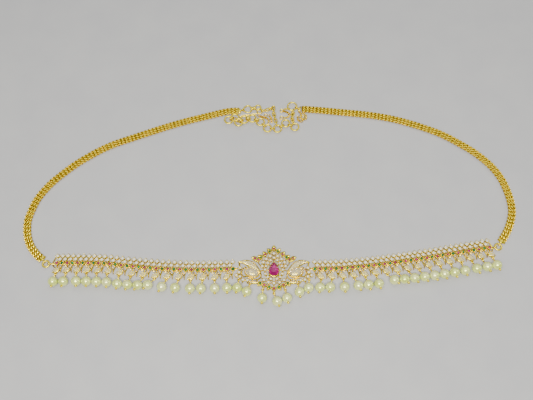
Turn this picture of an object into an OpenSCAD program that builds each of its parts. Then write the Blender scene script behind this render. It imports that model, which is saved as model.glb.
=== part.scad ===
// Jewelled waist belt. In front: a pierced medallion and two openwork bands of
// repeated units, with forty hanging pearls. Round the waist: two woven chains.
// Behind: a hook, a run of small links, an extension chain of large rings and a
// run of small rings. It lies on a flat surface at z = 0. The origin is on the
// flat back of the medallion, under its centre stone. +X runs along the band,
// +Y runs from the band to the clasp as it lies, +Z stands off the surface.

/* [Band] */
// Length of one repeat of the left band, near the medallion
left_pitch = 8.4; // [8.2:0.02:8.6]
// Length of one repeat of the left band, near its end
left_end_pitch = 7.45; // [7.4:0.02:8.2]
// Length of one repeat of the right band
right_pitch = 7.72; // [7.66:0.02:8]
// Thickness of the pierced plate under all settings
plate_t = 1.2; // [1:0.1:2]
// Outside diameter of a round collet in the band
collet_d = 3.3; // [3:0.1:3.6]
// Height of a collet above the plate
collet_h = 1.2; // [0.8:0.1:2]
// Diameter of a coloured stone in the band
coloured_d = 2; // [1.4:0.1:2.4]
// Corner to corner width of a square head for a white stone
square_w = 3.3; // [2.4:0.1:3.6]
// Height of a square head above the plate
square_h = 0.9; // [0.5:0.1:1.6]
// Height of the upper row of white stones above the coloured row
top_row = 5.3; // [4.8:0.1:6]
// Height of the lower row of white stones above the coloured row
second_row = 2.9; // [2.6:0.1:3.2]
// Width of the bars that join the settings
strut_w = 0.8; // [0.6:0.05:1.2]
// Width of a paved drop
drop_w = 3.9; // [3.4:0.1:4.2]
// Length of a paved drop
drop_l = 5.7; // [5:0.1:6.2]
// Height of a paved drop above the plate
drop_h = 1.1; // [0.6:0.1:2]

/* [Pearls] */
// Diameter of a pearl
pearl_d = 7; // [5:0.1:7.1]
// Diameter of the hole through a pearl
pearl_bore = 0.9; // [0.75:0.05:1.4]
// Thickness of the pin through a pearl
pin_d = 0.5; // [0.3:0.05:0.7]
// Diameter of the ball at the end of a pin
head_d = 1.6; // [1.2:0.1:2]
// Diameter of a bail and of a pin's eye, at the middle of the wire
eye_d = 1.6; // [1.5:0.05:1.9]
// Thickness of the wire of a bail and of a pin's eye
eye_wire = 0.6; // [0.5:0.02:0.62]
// Length of a pin from the middle of its eye to the middle of its pearl
pin_l = 6; // [5.8:0.1:7]

/* [Medallion] */
// Width of the pear-cut centre stone
centre_w = 7; // [6:0.1:7.4]
// Length of the pear-cut centre stone
centre_l = 10; // [8.5:0.1:10.6]
// Height of the table of the centre stone above the plate
centre_h = 3.4; // [2.6:0.1:4.5]
// Thickness of the bezel wall round the centre stone
bezel_t = 0.7; // [0.5:0.05:0.9]
// Height of the bezel above the plate
bezel_h = 2.3; // [1.6:0.1:3]
// Diameter of a white stone in the inner ring
inner_d = 1.6; // [1.2:0.1:1.8]
// Diameter of a white stone in the outer ring and the side clusters
outer_d = 1.9; // [1.4:0.1:2.1]
// Diameter of a coloured stone in the crowns
crown_d = 1.8; // [1.4:0.1:2.1]
// Thickness of a collet's wall in the medallion
collet_wall = 0.3; // [0.2:0.05:0.4]
// Height of the medallion's collets above the plate
medallion_collet_h = 1.1; // [0.8:0.1:2]
// Width of a leaf setting in the crowns
leaf_w = 3.3; // [2.9:0.1:3.6]
// Length of a leaf setting in the crowns
leaf_l = 4.2; // [3.6:0.1:4.8]
// Length of the paved dome of a paisley
dome_l = 11; // [9:0.1:11.5]
// Width of the paved dome of a paisley
dome_w = 7.8; // [6.8:0.1:8.4]
// Height of the paved dome above the plate
dome_h = 2.6; // [1.5:0.1:4]
// Height of a paisley's wing above the plate
wing_h = 1.2; // [0.6:0.1:2]

/* [Chains and clasp] */
// Width of a woven chain
mesh_w = 5.2; // [4:0.1:6.5]
// Thickness of a woven chain
mesh_t = 2.6; // [1.8:0.1:3.2]
// Diameter of the ring at each end of the band, at the middle of its wire
end_ring_d = 4.7; // [4.4:0.1:6]
// Thickness of the wire of the end rings
end_ring_wire = 1.1; // [0.8:0.05:1.2]
// Diameter of the upright eyes that hold rings, at the middle of the wire
holder_d = 2.3; // [2.2:0.05:2.4]
// Thickness of the wire of the upright eyes
holder_wire = 0.8; // [0.6:0.05:0.85]
// Diameter of a large ring of the extension, at the middle of its wire
large_ring_d = 6; // [5.9:0.05:6.1]
// Thickness of the wire of the large rings
large_wire = 0.9; // [0.7:0.05:0.95]
// Diameter of the small rings between the large rings, at the middle of the wire
joining_ring_d = 3.7; // [3.65:0.05:3.8]
// Thickness of the wire of the small rings
joining_wire = 0.66; // [0.5:0.02:0.7]
// Diameter of the ring at the end of the right woven chain, at mid wire
clasp_ring_d = 7; // [6.8:0.1:7]
// Thickness of the wire of the hook and of that ring
clasp_wire = 0.9; // [0.8:0.05:0.95]
// Length of an oval link, at the middle of its wire
oval_l = 4.2; // [4.1:0.05:4.3]
// Width of an oval link, at the middle of its wire
oval_w = 2.2; // [2:0.05:2.3]
// Thickness of the wire of an oval link
oval_wire = 0.6; // [0.4:0.02:0.62]
// Thickness of the gathered loose chain ends
loose_d = 2; // [1.4:0.1:2]

/* [Hidden] */

LEFT = 0;
RIGHT = 1;
RUBY = 0;
EMERALD = 1;
gold = "goldenrod";
ruby_red = "mediumvioletred";
emerald_green = "seagreen";
zircon_white = "white";
pearl_cream = "ivory";

// Clearance round a set stone
seat_gap = 0.12;
// Sides of a round stone, of a pear outline and of a domed outline
stone_sides = 8;
pear_sides = 20;
dome_sides = 24;
// Steps of the smooth curves between two chosen points
curve_steps = 6;
// Share of a stone's width that its table takes
table_share = 0.58;

// Route of the coloured row of each band, measured outwards from the medallion
band_routes = [
    [[25, 0.4], [45, -0.4], [65, -0.3], [85, 0.7], [105, 2.5], [120, 4.1], [140, 4.7],
     [165, 4.4]],
    [[25, 0.2], [45, 0.5], [70, 2.7], [100, 6.9], [125, 11.0], [165, 17.9]]];
// Distance along the route to the first green stone
first_green = [4.2, 4.0];
// Units with the near pitch, on each side, and the two pitches
near_units = [11, 17];
near_pitch = [left_pitch, right_pitch];
far_pitch = [left_end_pitch, right_pitch];
function pitch(side, k) = k < near_units[side] ? near_pitch[side] : far_pitch[side];
// Swing of each pearl from the band's square, in degrees, positive outwards
swings = [
    [-2, -1, 7, -1, 15, 23, 36, 21, 7, -4, -13, -12, -11, -11, 5, 5],
    [-10, -16, 1, 16, 9, 4, 36, 29, 23, 18, 12, 6, 3, 2, 10, 10, 5]];

// Smooth curve through chosen points
function between(p, i, t) =
    let (a = p[max(i - 1, 0)], b = p[i], c = p[i + 1], d = p[min(i + 2, len(p) - 1)])
    (2 * b + (c - a) * t + (2 * a - 5 * b + 4 * c - d) * t * t
        + (3 * b - a - 3 * c + d) * t * t * t) / 2;
function smooth(p) = concat(
    [for (i = [0 : len(p) - 2], j = [0 : curve_steps - 1]) between(p, i, j / curve_steps)],
    [p[len(p) - 1]]);
// Rows of length so far, x and y along a line of points
function measured(p) = [
    for (i = 0, s = 0; i < len(p);
         s = s + (i + 1 < len(p) ? norm(p[i + 1] - p[i]) : 0), i = i + 1)
    [s, p[i][0], p[i][1]]];
function length_of(run) = run[len(run) - 1][0];
function spot(run, s) = [
    lookup(s, [for (r = run) [r[0], r[1]]]),
    lookup(s, [for (r = run) [r[0], r[2]]])];
function heading(run, s) =
    let (a = spot(run, s - 0.5), b = spot(run, s + 0.5)) atan2(b[1] - a[1], b[0] - a[0]);
function direction(angle) = [cos(angle), sin(angle)];
module on_run(run, s) translate(spot(run, s)) rotate(heading(run, s)) children();

band_runs = [for (route = band_routes) measured(smooth(route))];

// Outline shapes
pear_widest = 8 / (3 * sqrt(3));
function pear(w, l, n = pear_sides) = [
    for (i = [0 : n - 1]) let (a = 360 * i / n)
    [-w / pear_widest * sin(a) * sin(a / 2), l / 2 * cos(a)]];
function round_outline(d, n) = [for (i = [0 : n - 1]) d / 2 * direction(360 * (i + 0.5) / n)];
function oval(w, l, n) = [for (i = [0 : n - 1]) [l / 2 * cos(360 * i / n), w / 2 * sin(360 * i / n)]];
function mid_side(rows, i) =
    let (a = rows[max(i - 1, 0)], b = rows[min(i + 1, len(rows) - 1)],
         d = [b[0] - a[0], b[1] - a[1]])
    [-d[1], d[0]] / norm(d) * rows[i][2] / 2;
function at(row) = [row[0], row[1]];
// A strip along rows of x, y and width
module ribbon(rows) {
    last = len(rows) - 1;
    polygon(concat(
        [for (i = [0 : last]) at(rows[i]) + mid_side(rows, i)],
        [for (i = [last : -1 : 0]) at(rows[i]) - mid_side(rows, i)]));
}
module strut(a, b, w = strut_w) ribbon([[a[0], a[1], w], [b[0], b[1], w]]);
module chain_of_struts(points, w = strut_w)
    for (i = [0 : len(points) - 2]) strut(points[i], points[i + 1], w);
module layer(z, h) translate([0, 0, z]) linear_extrude(h) children();
module both_sides() {
    children();
    mirror([1, 0, 0]) children();
}

// A wire ring that lies flat, and one that stands along +X
module ring(d, wire) rotate_extrude($fn = 48) translate([d / 2, 0]) circle(d = wire, $fn = 20);
module standing_ring(d, wire) rotate([90, 0, 0]) ring(d, wire);

// A cut stone: flat table, slanted crown and pointed pavilion
module cut_stone(outline, point_z, girdle_z, table_z) {
    n = len(outline);
    ring_at = [for (p = outline) [p[0], p[1], girdle_z]];
    table = [for (p = outline) [p[0] * table_share, p[1] * table_share, table_z]];
    polyhedron(
        concat(table, ring_at, [[0, 0, point_z]]),
        concat(
            [[for (i = [n - 1 : -1 : 0]) i]],
            [for (i = [0 : n - 1]) let (j = (i + 1) % n) [n + i, i, j, n + j]],
            [for (i = [0 : n - 1]) let (j = (i + 1) % n) [n + i, n + j, 2 * n]]));
}
// A round stone seated in a bore that ends on the plate
module seated_stone(d, collet_height)
    cut_stone(round_outline(d, stone_sides), plate_t + seat_gap,
        plate_t + collet_height - seat_gap, plate_t + collet_height + d / 5);

// A closed form on an outline: rows of height and share of the outline
module domed(outline, rows) {
    n = len(outline);
    m = len(rows);
    polyhedron(
        [for (row = rows, p = outline) [p[0] * row[1], p[1] * row[1], row[0]]],
        concat(
            [[for (i = [0 : n - 1]) i]],
            [for (k = [0 : m - 2], i = [0 : n - 1]) let (j = (i + 1) % n)
                [k * n + i, (k + 1) * n + i, (k + 1) * n + j, k * n + j]],
            [[for (i = [n - 1 : -1 : 0]) (m - 1) * n + i]]));
}

// Hanging pearls. The bail is a flat loop soldered to the metal. The pin's eye
// stands in it, and the pin rises from there to the pearl, which touches the
// surface below.
bail_z = (eye_d + eye_wire) / 2 + 0.08;
pearl_z = max(pearl_d / 2, bail_z);
pin_slope = asin((pearl_z - bail_z) / pin_l);
module bail() translate([0, 0, bail_z]) ring(eye_d, eye_wire);
module at_pin(swing)
    rotate(swing) translate([0, -eye_d / 2, bail_z]) rotate([-pin_slope, 0, 0]) children();
module pearl()
    color(pearl_cream) translate([0, -pin_l, 0]) difference() {
        sphere(d = pearl_d, $fn = 48);
        rotate([90, 0, 0]) cylinder(d = pearl_bore, h = 2 * pearl_d, center = true, $fn = 24);
    }
module pearl_pin() {
    head_y = pin_l + pearl_d / 2 + head_d / 2;
    color(gold) {
        rotate([0, 0, 90]) standing_ring(eye_d, eye_wire);
        translate([0, -eye_d / 2, 0]) rotate([90, 0, 0])
            cylinder(d = pin_d, h = head_y - eye_d / 2, $fn = 24);
        translate([0, -head_y, 0]) sphere(d = head_d, $fn = 32);
    }
}

// Places on a band: its units, their bails and its outer end
module on_side(side) mirror([side == LEFT ? 1 : 0, 0, 0]) children();
function unit_s(side, k) = first_green[side] + min(k, near_units[side]) * near_pitch[side]
    + max(k - near_units[side], 0) * far_pitch[side];
module at_unit(side, k) on_run(band_runs[side], unit_s(side, k)) children();
function units(side) = len(swings[side]);
// Bail of a unit, from its pink stone
bail_out = 0.6;
bail_down = 7.6;
module at_unit_bail(side, k)
    at_unit(side, k) translate([pitch(side, k) / 2 + bail_out, -bail_down]) children();

// Parts of a unit, with its green stone at the origin and outwards along +x
drop_at = [0.6, -5.2];
drop_turn = -124;
module at_drop(p) translate([p / 2 + drop_at[0], drop_at[1]]) rotate(drop_turn) children();
module squares(p, lower) {
    for (i = [0, 1]) translate([i * p / 2, top_row]) rotate(45)
        square(square_w / sqrt(2), center = true);
    for (i = [0 : lower - 1]) translate([(i + 0.5) * p / 2, second_row]) rotate(45)
        square(square_w / sqrt(2), center = true);
}
// The forked leaf: rows of x, y and width. Its arm comes from the pink stone.
leaf_stem = [[0, -1.2, 0.8], [0.4, -3.0, 0.9], [0.9, -4.6, 1.0], [0.5, -7.0, 0.5]];
leaf_arm = [[-1.5, -1.3, 0.8], [-2.2, -2.8, 0.8]];
leaf_arm_end = [0.8, -4.6, 0.9];
loop_at = [-0.5, -1.2];
loop_d = 1.8;
rail_y = 0.45;
rail_w = 1.7;
// Half a unit joins one white stone above to the next, and one coloured stone
// below to the next, by the white stone between them
module half_unit(p) {
    chain_of_struts([[0, top_row], [p / 4, second_row], [p / 2, top_row]]);
    chain_of_struts([[0, 0], [p / 4, second_row], [p / 2, 0]]);
    strut([0, rail_y], [p / 2, rail_y], rail_w);
}
module unit_outline(p, halves) {
    for (i = [0, 1]) translate([i * p / 2, 0]) circle(d = collet_d, $fn = 32);
    squares(p, halves);
    for (i = [0 : halves - 1]) translate([i * p / 2, 0]) half_unit(p);
    at_drop(p) polygon(pear(drop_w, drop_l));
    strut([p / 2, -1.2], [p / 2 - 0.3, -4.2], 1);
    ribbon(leaf_stem);
    ribbon(concat([for (row = leaf_arm) row + [p / 2, 0, 0]], [leaf_arm_end]));
    translate([p / 2 + bail_out, -bail_down]) strut([-0.2, 1.6], [0, eye_d / 2], eye_wire);
}
// The small loop that ties a unit to the one before it
module unit_loop(p) translate([loop_at[0] * p / 2, loop_at[1]]) circle(d = loop_d, $fn = 24);
// The forked end piece of each side: its reach from the last pink stone to the
// middle of its upright eye, then rows of share of the reach, y and width
fork_reach = [5.55, 4.2];
upper_arm = [[0.03, 5.1, 0.8], [0.27, 4.0, 0.8], [0.46, 2.0, 0.9], [0.62, -0.2, 1.1]];
lower_arm = [[0.14, -3.7, 0.8], [0.4, -2.4, 0.8], [0.62, -0.8, 1.0]];
end_y = -0.5;
holder_z = (holder_d + holder_wire) / 2 + 0.1;
module end_fork(reach) {
    bar = 0.5 * reach;
    layer(0, plate_t) {
        for (arm = [upper_arm, lower_arm])
            ribbon([for (row = arm) [row[0] * reach, row[1], row[2]]]);
        strut([0, end_y], [bar + 0.5, end_y], 1.2);
    }
    translate([bar, end_y - 0.5, plate_t / 2])
        cube([reach - holder_d / 2 - bar, 1, holder_z - plate_t / 2 + 0.3]);
    translate([reach, end_y, holder_z]) standing_ring(holder_d, holder_wire);
}
// The loop at the inner end, held by the medallion's side eye
side_eye_d = 1.3;
side_wire = 0.5;
side_z = (side_eye_d + side_wire) / 2 + 0.05;
side_y = 0.8;
side_loop_x = 26.95;

module band(side) {
    last = units(side) - 1;
    color(gold) on_side(side) {
        layer(0, plate_t) {
            for (k = [0 : last]) at_unit(side, k) unit_outline(pitch(side, k), k == last ? 1 : 2);
            for (k = [1 : last]) at_unit(side, k) unit_loop(pitch(side, k - 1));
        }
        layer(plate_t, collet_h) for (k = [0 : last], i = [0, 1])
            at_unit(side, k) translate([i * pitch(side, k) / 2, 0]) difference() {
                circle(d = collet_d, $fn = 32);
                circle(d = coloured_d + 2 * seat_gap, $fn = 32);
            }
        layer(plate_t, square_h) for (k = [0 : last])
            at_unit(side, k) squares(pitch(side, k), k == last ? 1 : 2);
        layer(plate_t, drop_h / 2) for (k = [0 : last])
            at_unit(side, k) at_drop(pitch(side, k)) polygon(pear(drop_w - 0.5, drop_l - 0.7));
        layer(plate_t + drop_h / 2, drop_h / 2) for (k = [0 : last])
            at_unit(side, k) at_drop(pitch(side, k)) polygon(pear(drop_w - 1.6, drop_l - 2.2));
        for (k = [0 : last]) at_unit_bail(side, k) bail();
        at_unit(side, last) translate([pitch(side, last) / 2, 0]) end_fork(fork_reach[side]);
        translate([side_loop_x, side_y, side_z]) ring(side_eye_d, side_wire);
    }
}
module left_band() band(LEFT);
module right_band() band(RIGHT);

module band_stones(kind)
    for (side = [LEFT, RIGHT]) on_side(side) for (k = [0 : units(side) - 1])
        at_unit(side, k) translate([kind == EMERALD ? 0 : pitch(side, k) / 2, 0])
            seated_stone(coloured_d, collet_h);
module band_rubies() color(ruby_red) band_stones(RUBY);
module band_emeralds() color(emerald_green) band_stones(EMERALD);

// The medallion. Each table lists the right half, and its mirror gives the left.
// White stones of the inner ring: x and y
inner_ring = [[0, 8.5], [2.4, 6.7], [4.3, 4.7], [5.6, 2.3], [6.3, -0.3], [6.1, -3.3],
    [4.4, -5.7], [2.0, -7.1]];
// White stones of the outer ring
outer_upper = [[0, 11.8], [2.7, 9.8], [5.4, 7.6], [7.6, 5.2], [8.3, 2.3]];
outer_lower = [[7.1, -7.8], [3.9, -9.5], [0, -10.1]];
outer_ring = concat(outer_upper, outer_lower);
// White stones of the side cluster
cluster = [[24.1, 1.1], [24.8, -2.2], [26.7, -4.4], [24.1, -5.3], [22.0, -7.6], [18.8, -8.0]];
// Leaf settings of the crowns: x, y, heading of the tip and kind of stone
crown = [
    [0, 15.3, 90, RUBY], [2.9, 13.4, 45, EMERALD], [6.3, 11.1, 50, RUBY],
    [9.1, 8.9, 30, EMERALD], [11.2, 7.1, -20, RUBY], [13.6, 8.0, 22, RUBY],
    [9.7, -10.3, -40, EMERALD], [6.8, -11.5, -66, RUBY], [3.5, -13.0, -55, EMERALD],
    [0, -14.1, -90, RUBY]];
// Loops for the pearls and the swing of each pearl, left to right
medallion_bails = [
    [-25.0, -7.6, -8], [-17.0, -10.6, -20], [-8.0, -14.9, -3], [0, -17.6, 20],
    [8.0, -14.9, 10], [17.0, -10.6, 7], [25.0, -7.6, -6]];
// The wing of a paisley and its wire: x, y and width
wing = [[25.6, 5.2, 0.7], [22.4, 5.5, 2.4], [19.2, 5.0, 4.2], [16.4, 3.6, 5.0],
    [13.7, 1.6, 4.2], [11.2, -0.4, 2.3], [9.6, -2.7, 1.2], [9.2, -4.9, 0.9],
    [10.4, -6.7, 0.9], [12.8, -7.5, 0.9], [15.6, -7.0, 0.9], [18.0, -5.8, 0.9]];
wing_paved = 6;
wire_loop = [[19.9, 2.0, 0.9], [22.0, 0.5, 0.9], [23.0, -1.6, 0.9], [22.7, -3.9, 0.9],
    [21.2, -5.2, 0.9], [18.6, -4.8, 0.9]];
dome_at = [15.7, -2.3];
dome_turn = 15;
paved_bar = [[11.4, -9.5, 1.6], [14.0, -9.7, 2.0], [17.0, -9.2, 1.6]];
side_arm = [[8.3, 2.3, 0.8], [10.2, 3.5, 0.8], [11.1, 5.2, 0.8], [11.2, 7.1, 0.8]];
spikes = [[[22.0, -7.6, 1.4], [22.6, -10.0, 0.5]], [[18.8, -8.0, 1.4], [18.5, -10.5, 0.5]]];

inner_collet = inner_d + 2 * (collet_wall + seat_gap);
outer_collet = outer_d + 2 * (collet_wall + seat_gap);
module discs(places, d) for (p = places) translate(p) circle(d = d, $fn = 28);
module bezel_outline(grow)
    polygon(pear(centre_w + 2 * grow, centre_l + 3.6 * grow));
module at_leaf(row) translate(at(row)) rotate(row[2] - 90) children();
module leaf() translate([0, leaf_l / 6]) polygon(pear(leaf_w, leaf_l));

module medallion_half() {
    discs(inner_ring, inner_collet);
    discs(outer_ring, outer_collet);
    discs(cluster, outer_collet);
    for (row = crown) at_leaf(row) leaf();
    chain_of_struts(inner_ring, 1);
    chain_of_struts(outer_upper);
    chain_of_struts(outer_lower);
    chain_of_struts([for (i = [0 : 5]) at(crown[i])]);
    chain_of_struts([for (i = [9 : -1 : 6]) at(crown[i])]);
    chain_of_struts(concat([at(crown[6])], [[12, -9.4]]), 1.2);
    chain_of_struts(concat([[16.5, -9.2]], [for (i = [5 : -1 : 0]) cluster[i]], [[24.9, 5]]), 1.2);
    for (i = [0 : 3]) {
        strut(inner_ring[i], outer_upper[i]);
        strut(outer_upper[i], at(crown[i]));
    }
    for (i = [0, 2, 4, 6]) strut([0, 0], inner_ring[i], 1);
    strut(inner_ring[4], outer_upper[4]);
    strut(inner_ring[4], [10.2, -1.0]);
    strut(inner_ring[6], outer_lower[1]);
    strut(inner_ring[7], outer_lower[2]);
    strut(outer_lower[0], at(crown[6]));
    strut(outer_lower[0], [9.5, -5.6]);
    strut(outer_lower[1], at(crown[8]));
    strut(outer_lower[2], at(crown[9]));
    strut([11.9, -7.4], [11.9, -9.2], 1);
    strut([15.6, -7.0], [15.4, -9.2], 1);
    strut([22.9, -2], cluster[1], 1);
    strut(at(crown[7]), [8, -14.2], 0.9);
    strut(cluster[3], [25, -6.9], 0.9);
    strut(cluster[0], [side_loop_x - side_eye_d, side_y], 0.9);
    ribbon(wing);
    ribbon(wire_loop);
    ribbon(paved_bar);
    ribbon(side_arm);
    for (rows = spikes) ribbon(rows);
    translate(dome_at) rotate(dome_turn) polygon(oval(dome_w, dome_l, dome_sides));
}
module medallion_bores() {
    discs(inner_ring, inner_d + 2 * seat_gap);
    discs(concat(outer_ring, cluster), outer_d + 2 * seat_gap);
    discs([for (row = crown) at(row)], crown_d + 2 * seat_gap);
}
module medallion_frame() color(gold) {
    layer(0, plate_t) {
        both_sides() medallion_half();
        bezel_outline(bezel_t);
        strut(at(crown[9]), [0, -16.8], 1);
    }
    layer(plate_t, medallion_collet_h) both_sides() difference() {
        union() {
            discs(inner_ring, inner_collet);
            discs(concat(outer_ring, cluster), outer_collet);
            for (row = crown) at_leaf(row) leaf();
        }
        medallion_bores();
    }
    layer(plate_t, bezel_h) difference() {
        bezel_outline(bezel_t);
        bezel_outline(seat_gap);
    }
    layer(plate_t, wing_h) both_sides() {
        ribbon([for (i = [0 : wing_paved]) wing[i] - [0, 0, 0.3]]);
        ribbon([for (row = paved_bar) row - [0, 0, 0.3]]);
    }
    both_sides() translate(dome_at) rotate(dome_turn)
        domed(oval(dome_w - 0.3, dome_l - 0.3, dome_sides), [[plate_t / 2, 1],
            [plate_t + 0.3 * dome_h, 0.97], [plate_t + 0.7 * dome_h, 0.8],
            [plate_t + 0.93 * dome_h, 0.5], [plate_t + dome_h, 0.2]]);
    for (row = medallion_bails) translate(at(row)) bail();
    both_sides() translate([side_loop_x - side_eye_d / 2, side_y, side_z])
        standing_ring(side_eye_d, side_wire);
}
module centre_ruby() color(ruby_red)
    cut_stone(pear(centre_w, centre_l), plate_t + seat_gap, plate_t + bezel_h - seat_gap,
        plate_t + centre_h);
// Stones of the tables on both sides, each once where it is on the middle line
module mirrored_stones(places) for (p = places, s = p[0] == 0 ? [1] : [-1, 1])
    translate([s * p[0], p[1]]) children();
module medallion_white_stones() color(zircon_white) {
    mirrored_stones(inner_ring) seated_stone(inner_d, medallion_collet_h);
    mirrored_stones(concat(outer_ring, cluster)) seated_stone(outer_d, medallion_collet_h);
}
module crown_stones(kind) mirrored_stones([for (row = crown) if (row[3] == kind) at(row)])
    seated_stone(crown_d, medallion_collet_h);
module medallion_rubies() color(ruby_red) crown_stones(RUBY);
module medallion_emeralds() color(emerald_green) crown_stones(EMERALD);

// Pearls and pins
module band_pins(side) on_side(side) for (k = [0 : units(side) - 1])
    at_unit_bail(side, k) at_pin(swings[side][k]) pearl_pin();
module left_pearl_pins() band_pins(LEFT);
module right_pearl_pins() band_pins(RIGHT);
module medallion_pearl_pins() for (row = medallion_bails)
    translate(at(row)) at_pin(row[2]) pearl_pin();
module band_pearl(side, k) on_side(side) at_unit_bail(side, k) at_pin(swings[side][k]) pearl();
module medallion_pearl(k)
    translate(at(medallion_bails[k])) at_pin(medallion_bails[k][2]) pearl();

// Rings at the ends of the band
function end_s(side) = let (last = units(side) - 1)
    unit_s(side, last) + pitch(side, last) / 2;
function end_place(side, u, v) =
    let (s = end_s(side), a = heading(band_runs[side], s), o = spot(band_runs[side], s))
    [(side == LEFT ? -1 : 1) * (o[0] + u * cos(a) - v * sin(a)), o[1] + u * sin(a) + v * cos(a)];
function end_ring_at(side) = end_place(side, fork_reach[side] + end_ring_d / 2, end_y);
module end_rings() color(gold) {
    for (side = [LEFT, RIGHT])
        translate(concat(end_ring_at(side), holder_z)) ring(end_ring_d, end_ring_wire);
    translate(concat(clasp_ring_at, flat_z)) ring(clasp_ring_d, clasp_wire);
}

// Woven chains: each is a flat band with an eye at both ends. The route runs
// from the end ring to the clasp, in chosen points.
flat_z = 1.9;
cap_l = 0.4;
mesh_points = [
    [[-168.8, 9.8], [-172, 13], [-176, 18.5], [-179, 26.5], [-180, 36], [-178.5, 44],
     [-174.5, 55], [-166.5, 66.5], [-158, 75], [-149, 82.8], [-140, 89.2], [-131, 94.8],
     [-121, 99.8], [-108, 104.8], [-94, 110.1], [-80, 115.2], [-66, 119.7], [-50, 124.1],
     [-36, 127.8]],
    [[168.2, 26.2], [171.5, 32], [174.5, 40], [175.6, 48], [174.3, 59], [170.5, 71],
     [164, 81.5], [154, 91.6], [143, 99.6], [130, 107.6], [117, 113.3], [103, 118.3],
     [90, 121.9], [73, 125], [54, 127.1], [36, 129]]];
hook_loop_w = 6.2;
hook_loop_l = 6.8;
hook_at = [-20.6, 129.4];
hook_turn = 10;
clasp_ring_at = [14.8, 132.1];
// Heading from the ring to the woven chain, at the end ring and at the clasp
ring_to_mesh = [[128, 55], [190, -20]];
mesh_rings = [
    [[end_ring_at(LEFT), end_ring_d], [hook_at, hook_loop_l - 0.2]],
    [[end_ring_at(RIGHT), end_ring_d], [clasp_ring_at, clasp_ring_d]]];
mesh_ring_z = [holder_z, flat_z];
function mesh_heading(side, e) =
    e == 0 ? ring_to_mesh[0][side] : ring_to_mesh[1][side];
function holder_at(side, e) =
    mesh_rings[side][e][0] + mesh_rings[side][e][1] / 2 * direction(mesh_heading(side, e));
function mesh_end(side, e) =
    holder_at(side, e) + (holder_d / 2 + cap_l) * direction(mesh_heading(side, e));
function mesh_route(side) = concat([mesh_end(side, 0)], mesh_points[side], [mesh_end(side, 1)]);
// The section of the chain: share of half the width and of the thickness
mesh_section = [[-1, 0.3], [-0.82, 0], [0.82, 0], [1, 0.3], [1, 0.7], [0.82, 1],
    [-0.82, 1], [-1, 0.7]];
mesh_steps = 2;
function mesh_line(side) = let (p = mesh_route(side)) concat(
    [for (i = [0 : len(p) - 2], j = [0 : mesh_steps - 1]) between(p, i, j / mesh_steps)],
    [p[len(p) - 1]]);
function line_side(p, i) =
    let (d = p[min(i + 1, len(p) - 1)] - p[max(i - 1, 0)]) [-d[1], d[0]] / norm(d);
module mesh_chain(side) {
    p = mesh_line(side);
    n = len(mesh_section);
    m = len(p);
    color(gold) {
        polyhedron(
            [for (i = [0 : m - 1], q = mesh_section) let (w = q[0] * mesh_w / 2 * line_side(p, i))
                [p[i][0] + w[0], p[i][1] + w[1], q[1] * mesh_t]],
            concat(
                [[for (i = [0 : n - 1]) i]],
                [for (k = [0 : m - 2], i = [0 : n - 1]) let (j = (i + 1) % n)
                    [k * n + i, (k + 1) * n + i, (k + 1) * n + j, k * n + j]],
                [[for (i = [n - 1 : -1 : 0]) (m - 1) * n + i]]));
        for (e = [0, 1]) translate(concat(holder_at(side, e), mesh_ring_z[e]))
            rotate(mesh_heading(side, e)) {
                standing_ring(holder_d, holder_wire);
                translate([holder_d / 2 - 0.1, -0.5, -1.1]) cube([cap_l + 0.6, 1, 1.4]);
            }
    }
}
module left_mesh_chain() mesh_chain(LEFT);
module right_mesh_chain() mesh_chain(RIGHT);

// A closed loop of wire, swept along a closed outline of points
loop_sides = 6;
module swept_loop(path, wire) {
    m = len(path);
    n = loop_sides;
    normals = [for (k = [0 : m - 1]) let (d = path[(k + 1) % m] - path[(k + m - 1) % m])
        [d[1], -d[0]] / norm(d)];
    polyhedron(
        [for (k = [0 : m - 1], i = [0 : n - 1]) let (b = 360 * i / n, r = wire / 2)
            [path[k][0] + r * cos(b) * normals[k][0], path[k][1] + r * cos(b) * normals[k][1],
             r * sin(b)]],
        [for (k = [0 : m - 1], i = [0 : n - 1])
            let (q = (k + 1) % m, j = (i + 1) % n)
            [k * n + i, k * n + j, q * n + j, q * n + i]]);
}

// The hook: a pear-shaped loop, a wrapped neck and a double eye, soldered
wrap_turns = 4;
wrap_d = 1.7;
wrap_wire = 0.9;
wrap_step = 0.8;
hook_eye_d = 4.2;
hook_eye_wire = 0.85;
second_eye_wire = 0.75;
neck_x = hook_loop_l / 2 + 0.5;
eye_x = neck_x + (wrap_turns - 1) * wrap_step + 0.4 + hook_eye_d / 2;
hook_eye_at = hook_at + eye_x * direction(hook_turn);
second_eye_at = [-10.7, 128.1];
module hook_clasp() color(gold) {
    translate(concat(hook_at, flat_z)) rotate(hook_turn) {
        rotate(90) swept_loop(pear(hook_loop_w, hook_loop_l), clasp_wire);
        for (i = [0 : wrap_turns - 1]) translate([neck_x + i * wrap_step, 0, 0])
            rotate([0, 90, 0]) ring(wrap_d, wrap_wire);
        translate([hook_loop_l / 2, 0, 0]) rotate([0, 90, 0])
            cylinder(d = 1.2, h = eye_x - hook_eye_d / 2 - hook_loop_l / 2, $fn = 24);
    }
    translate(concat(hook_eye_at, flat_z)) ring(hook_eye_d, hook_eye_wire);
    translate(concat(second_eye_at, flat_z - 0.4)) ring(hook_eye_d, second_eye_wire);
}

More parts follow.
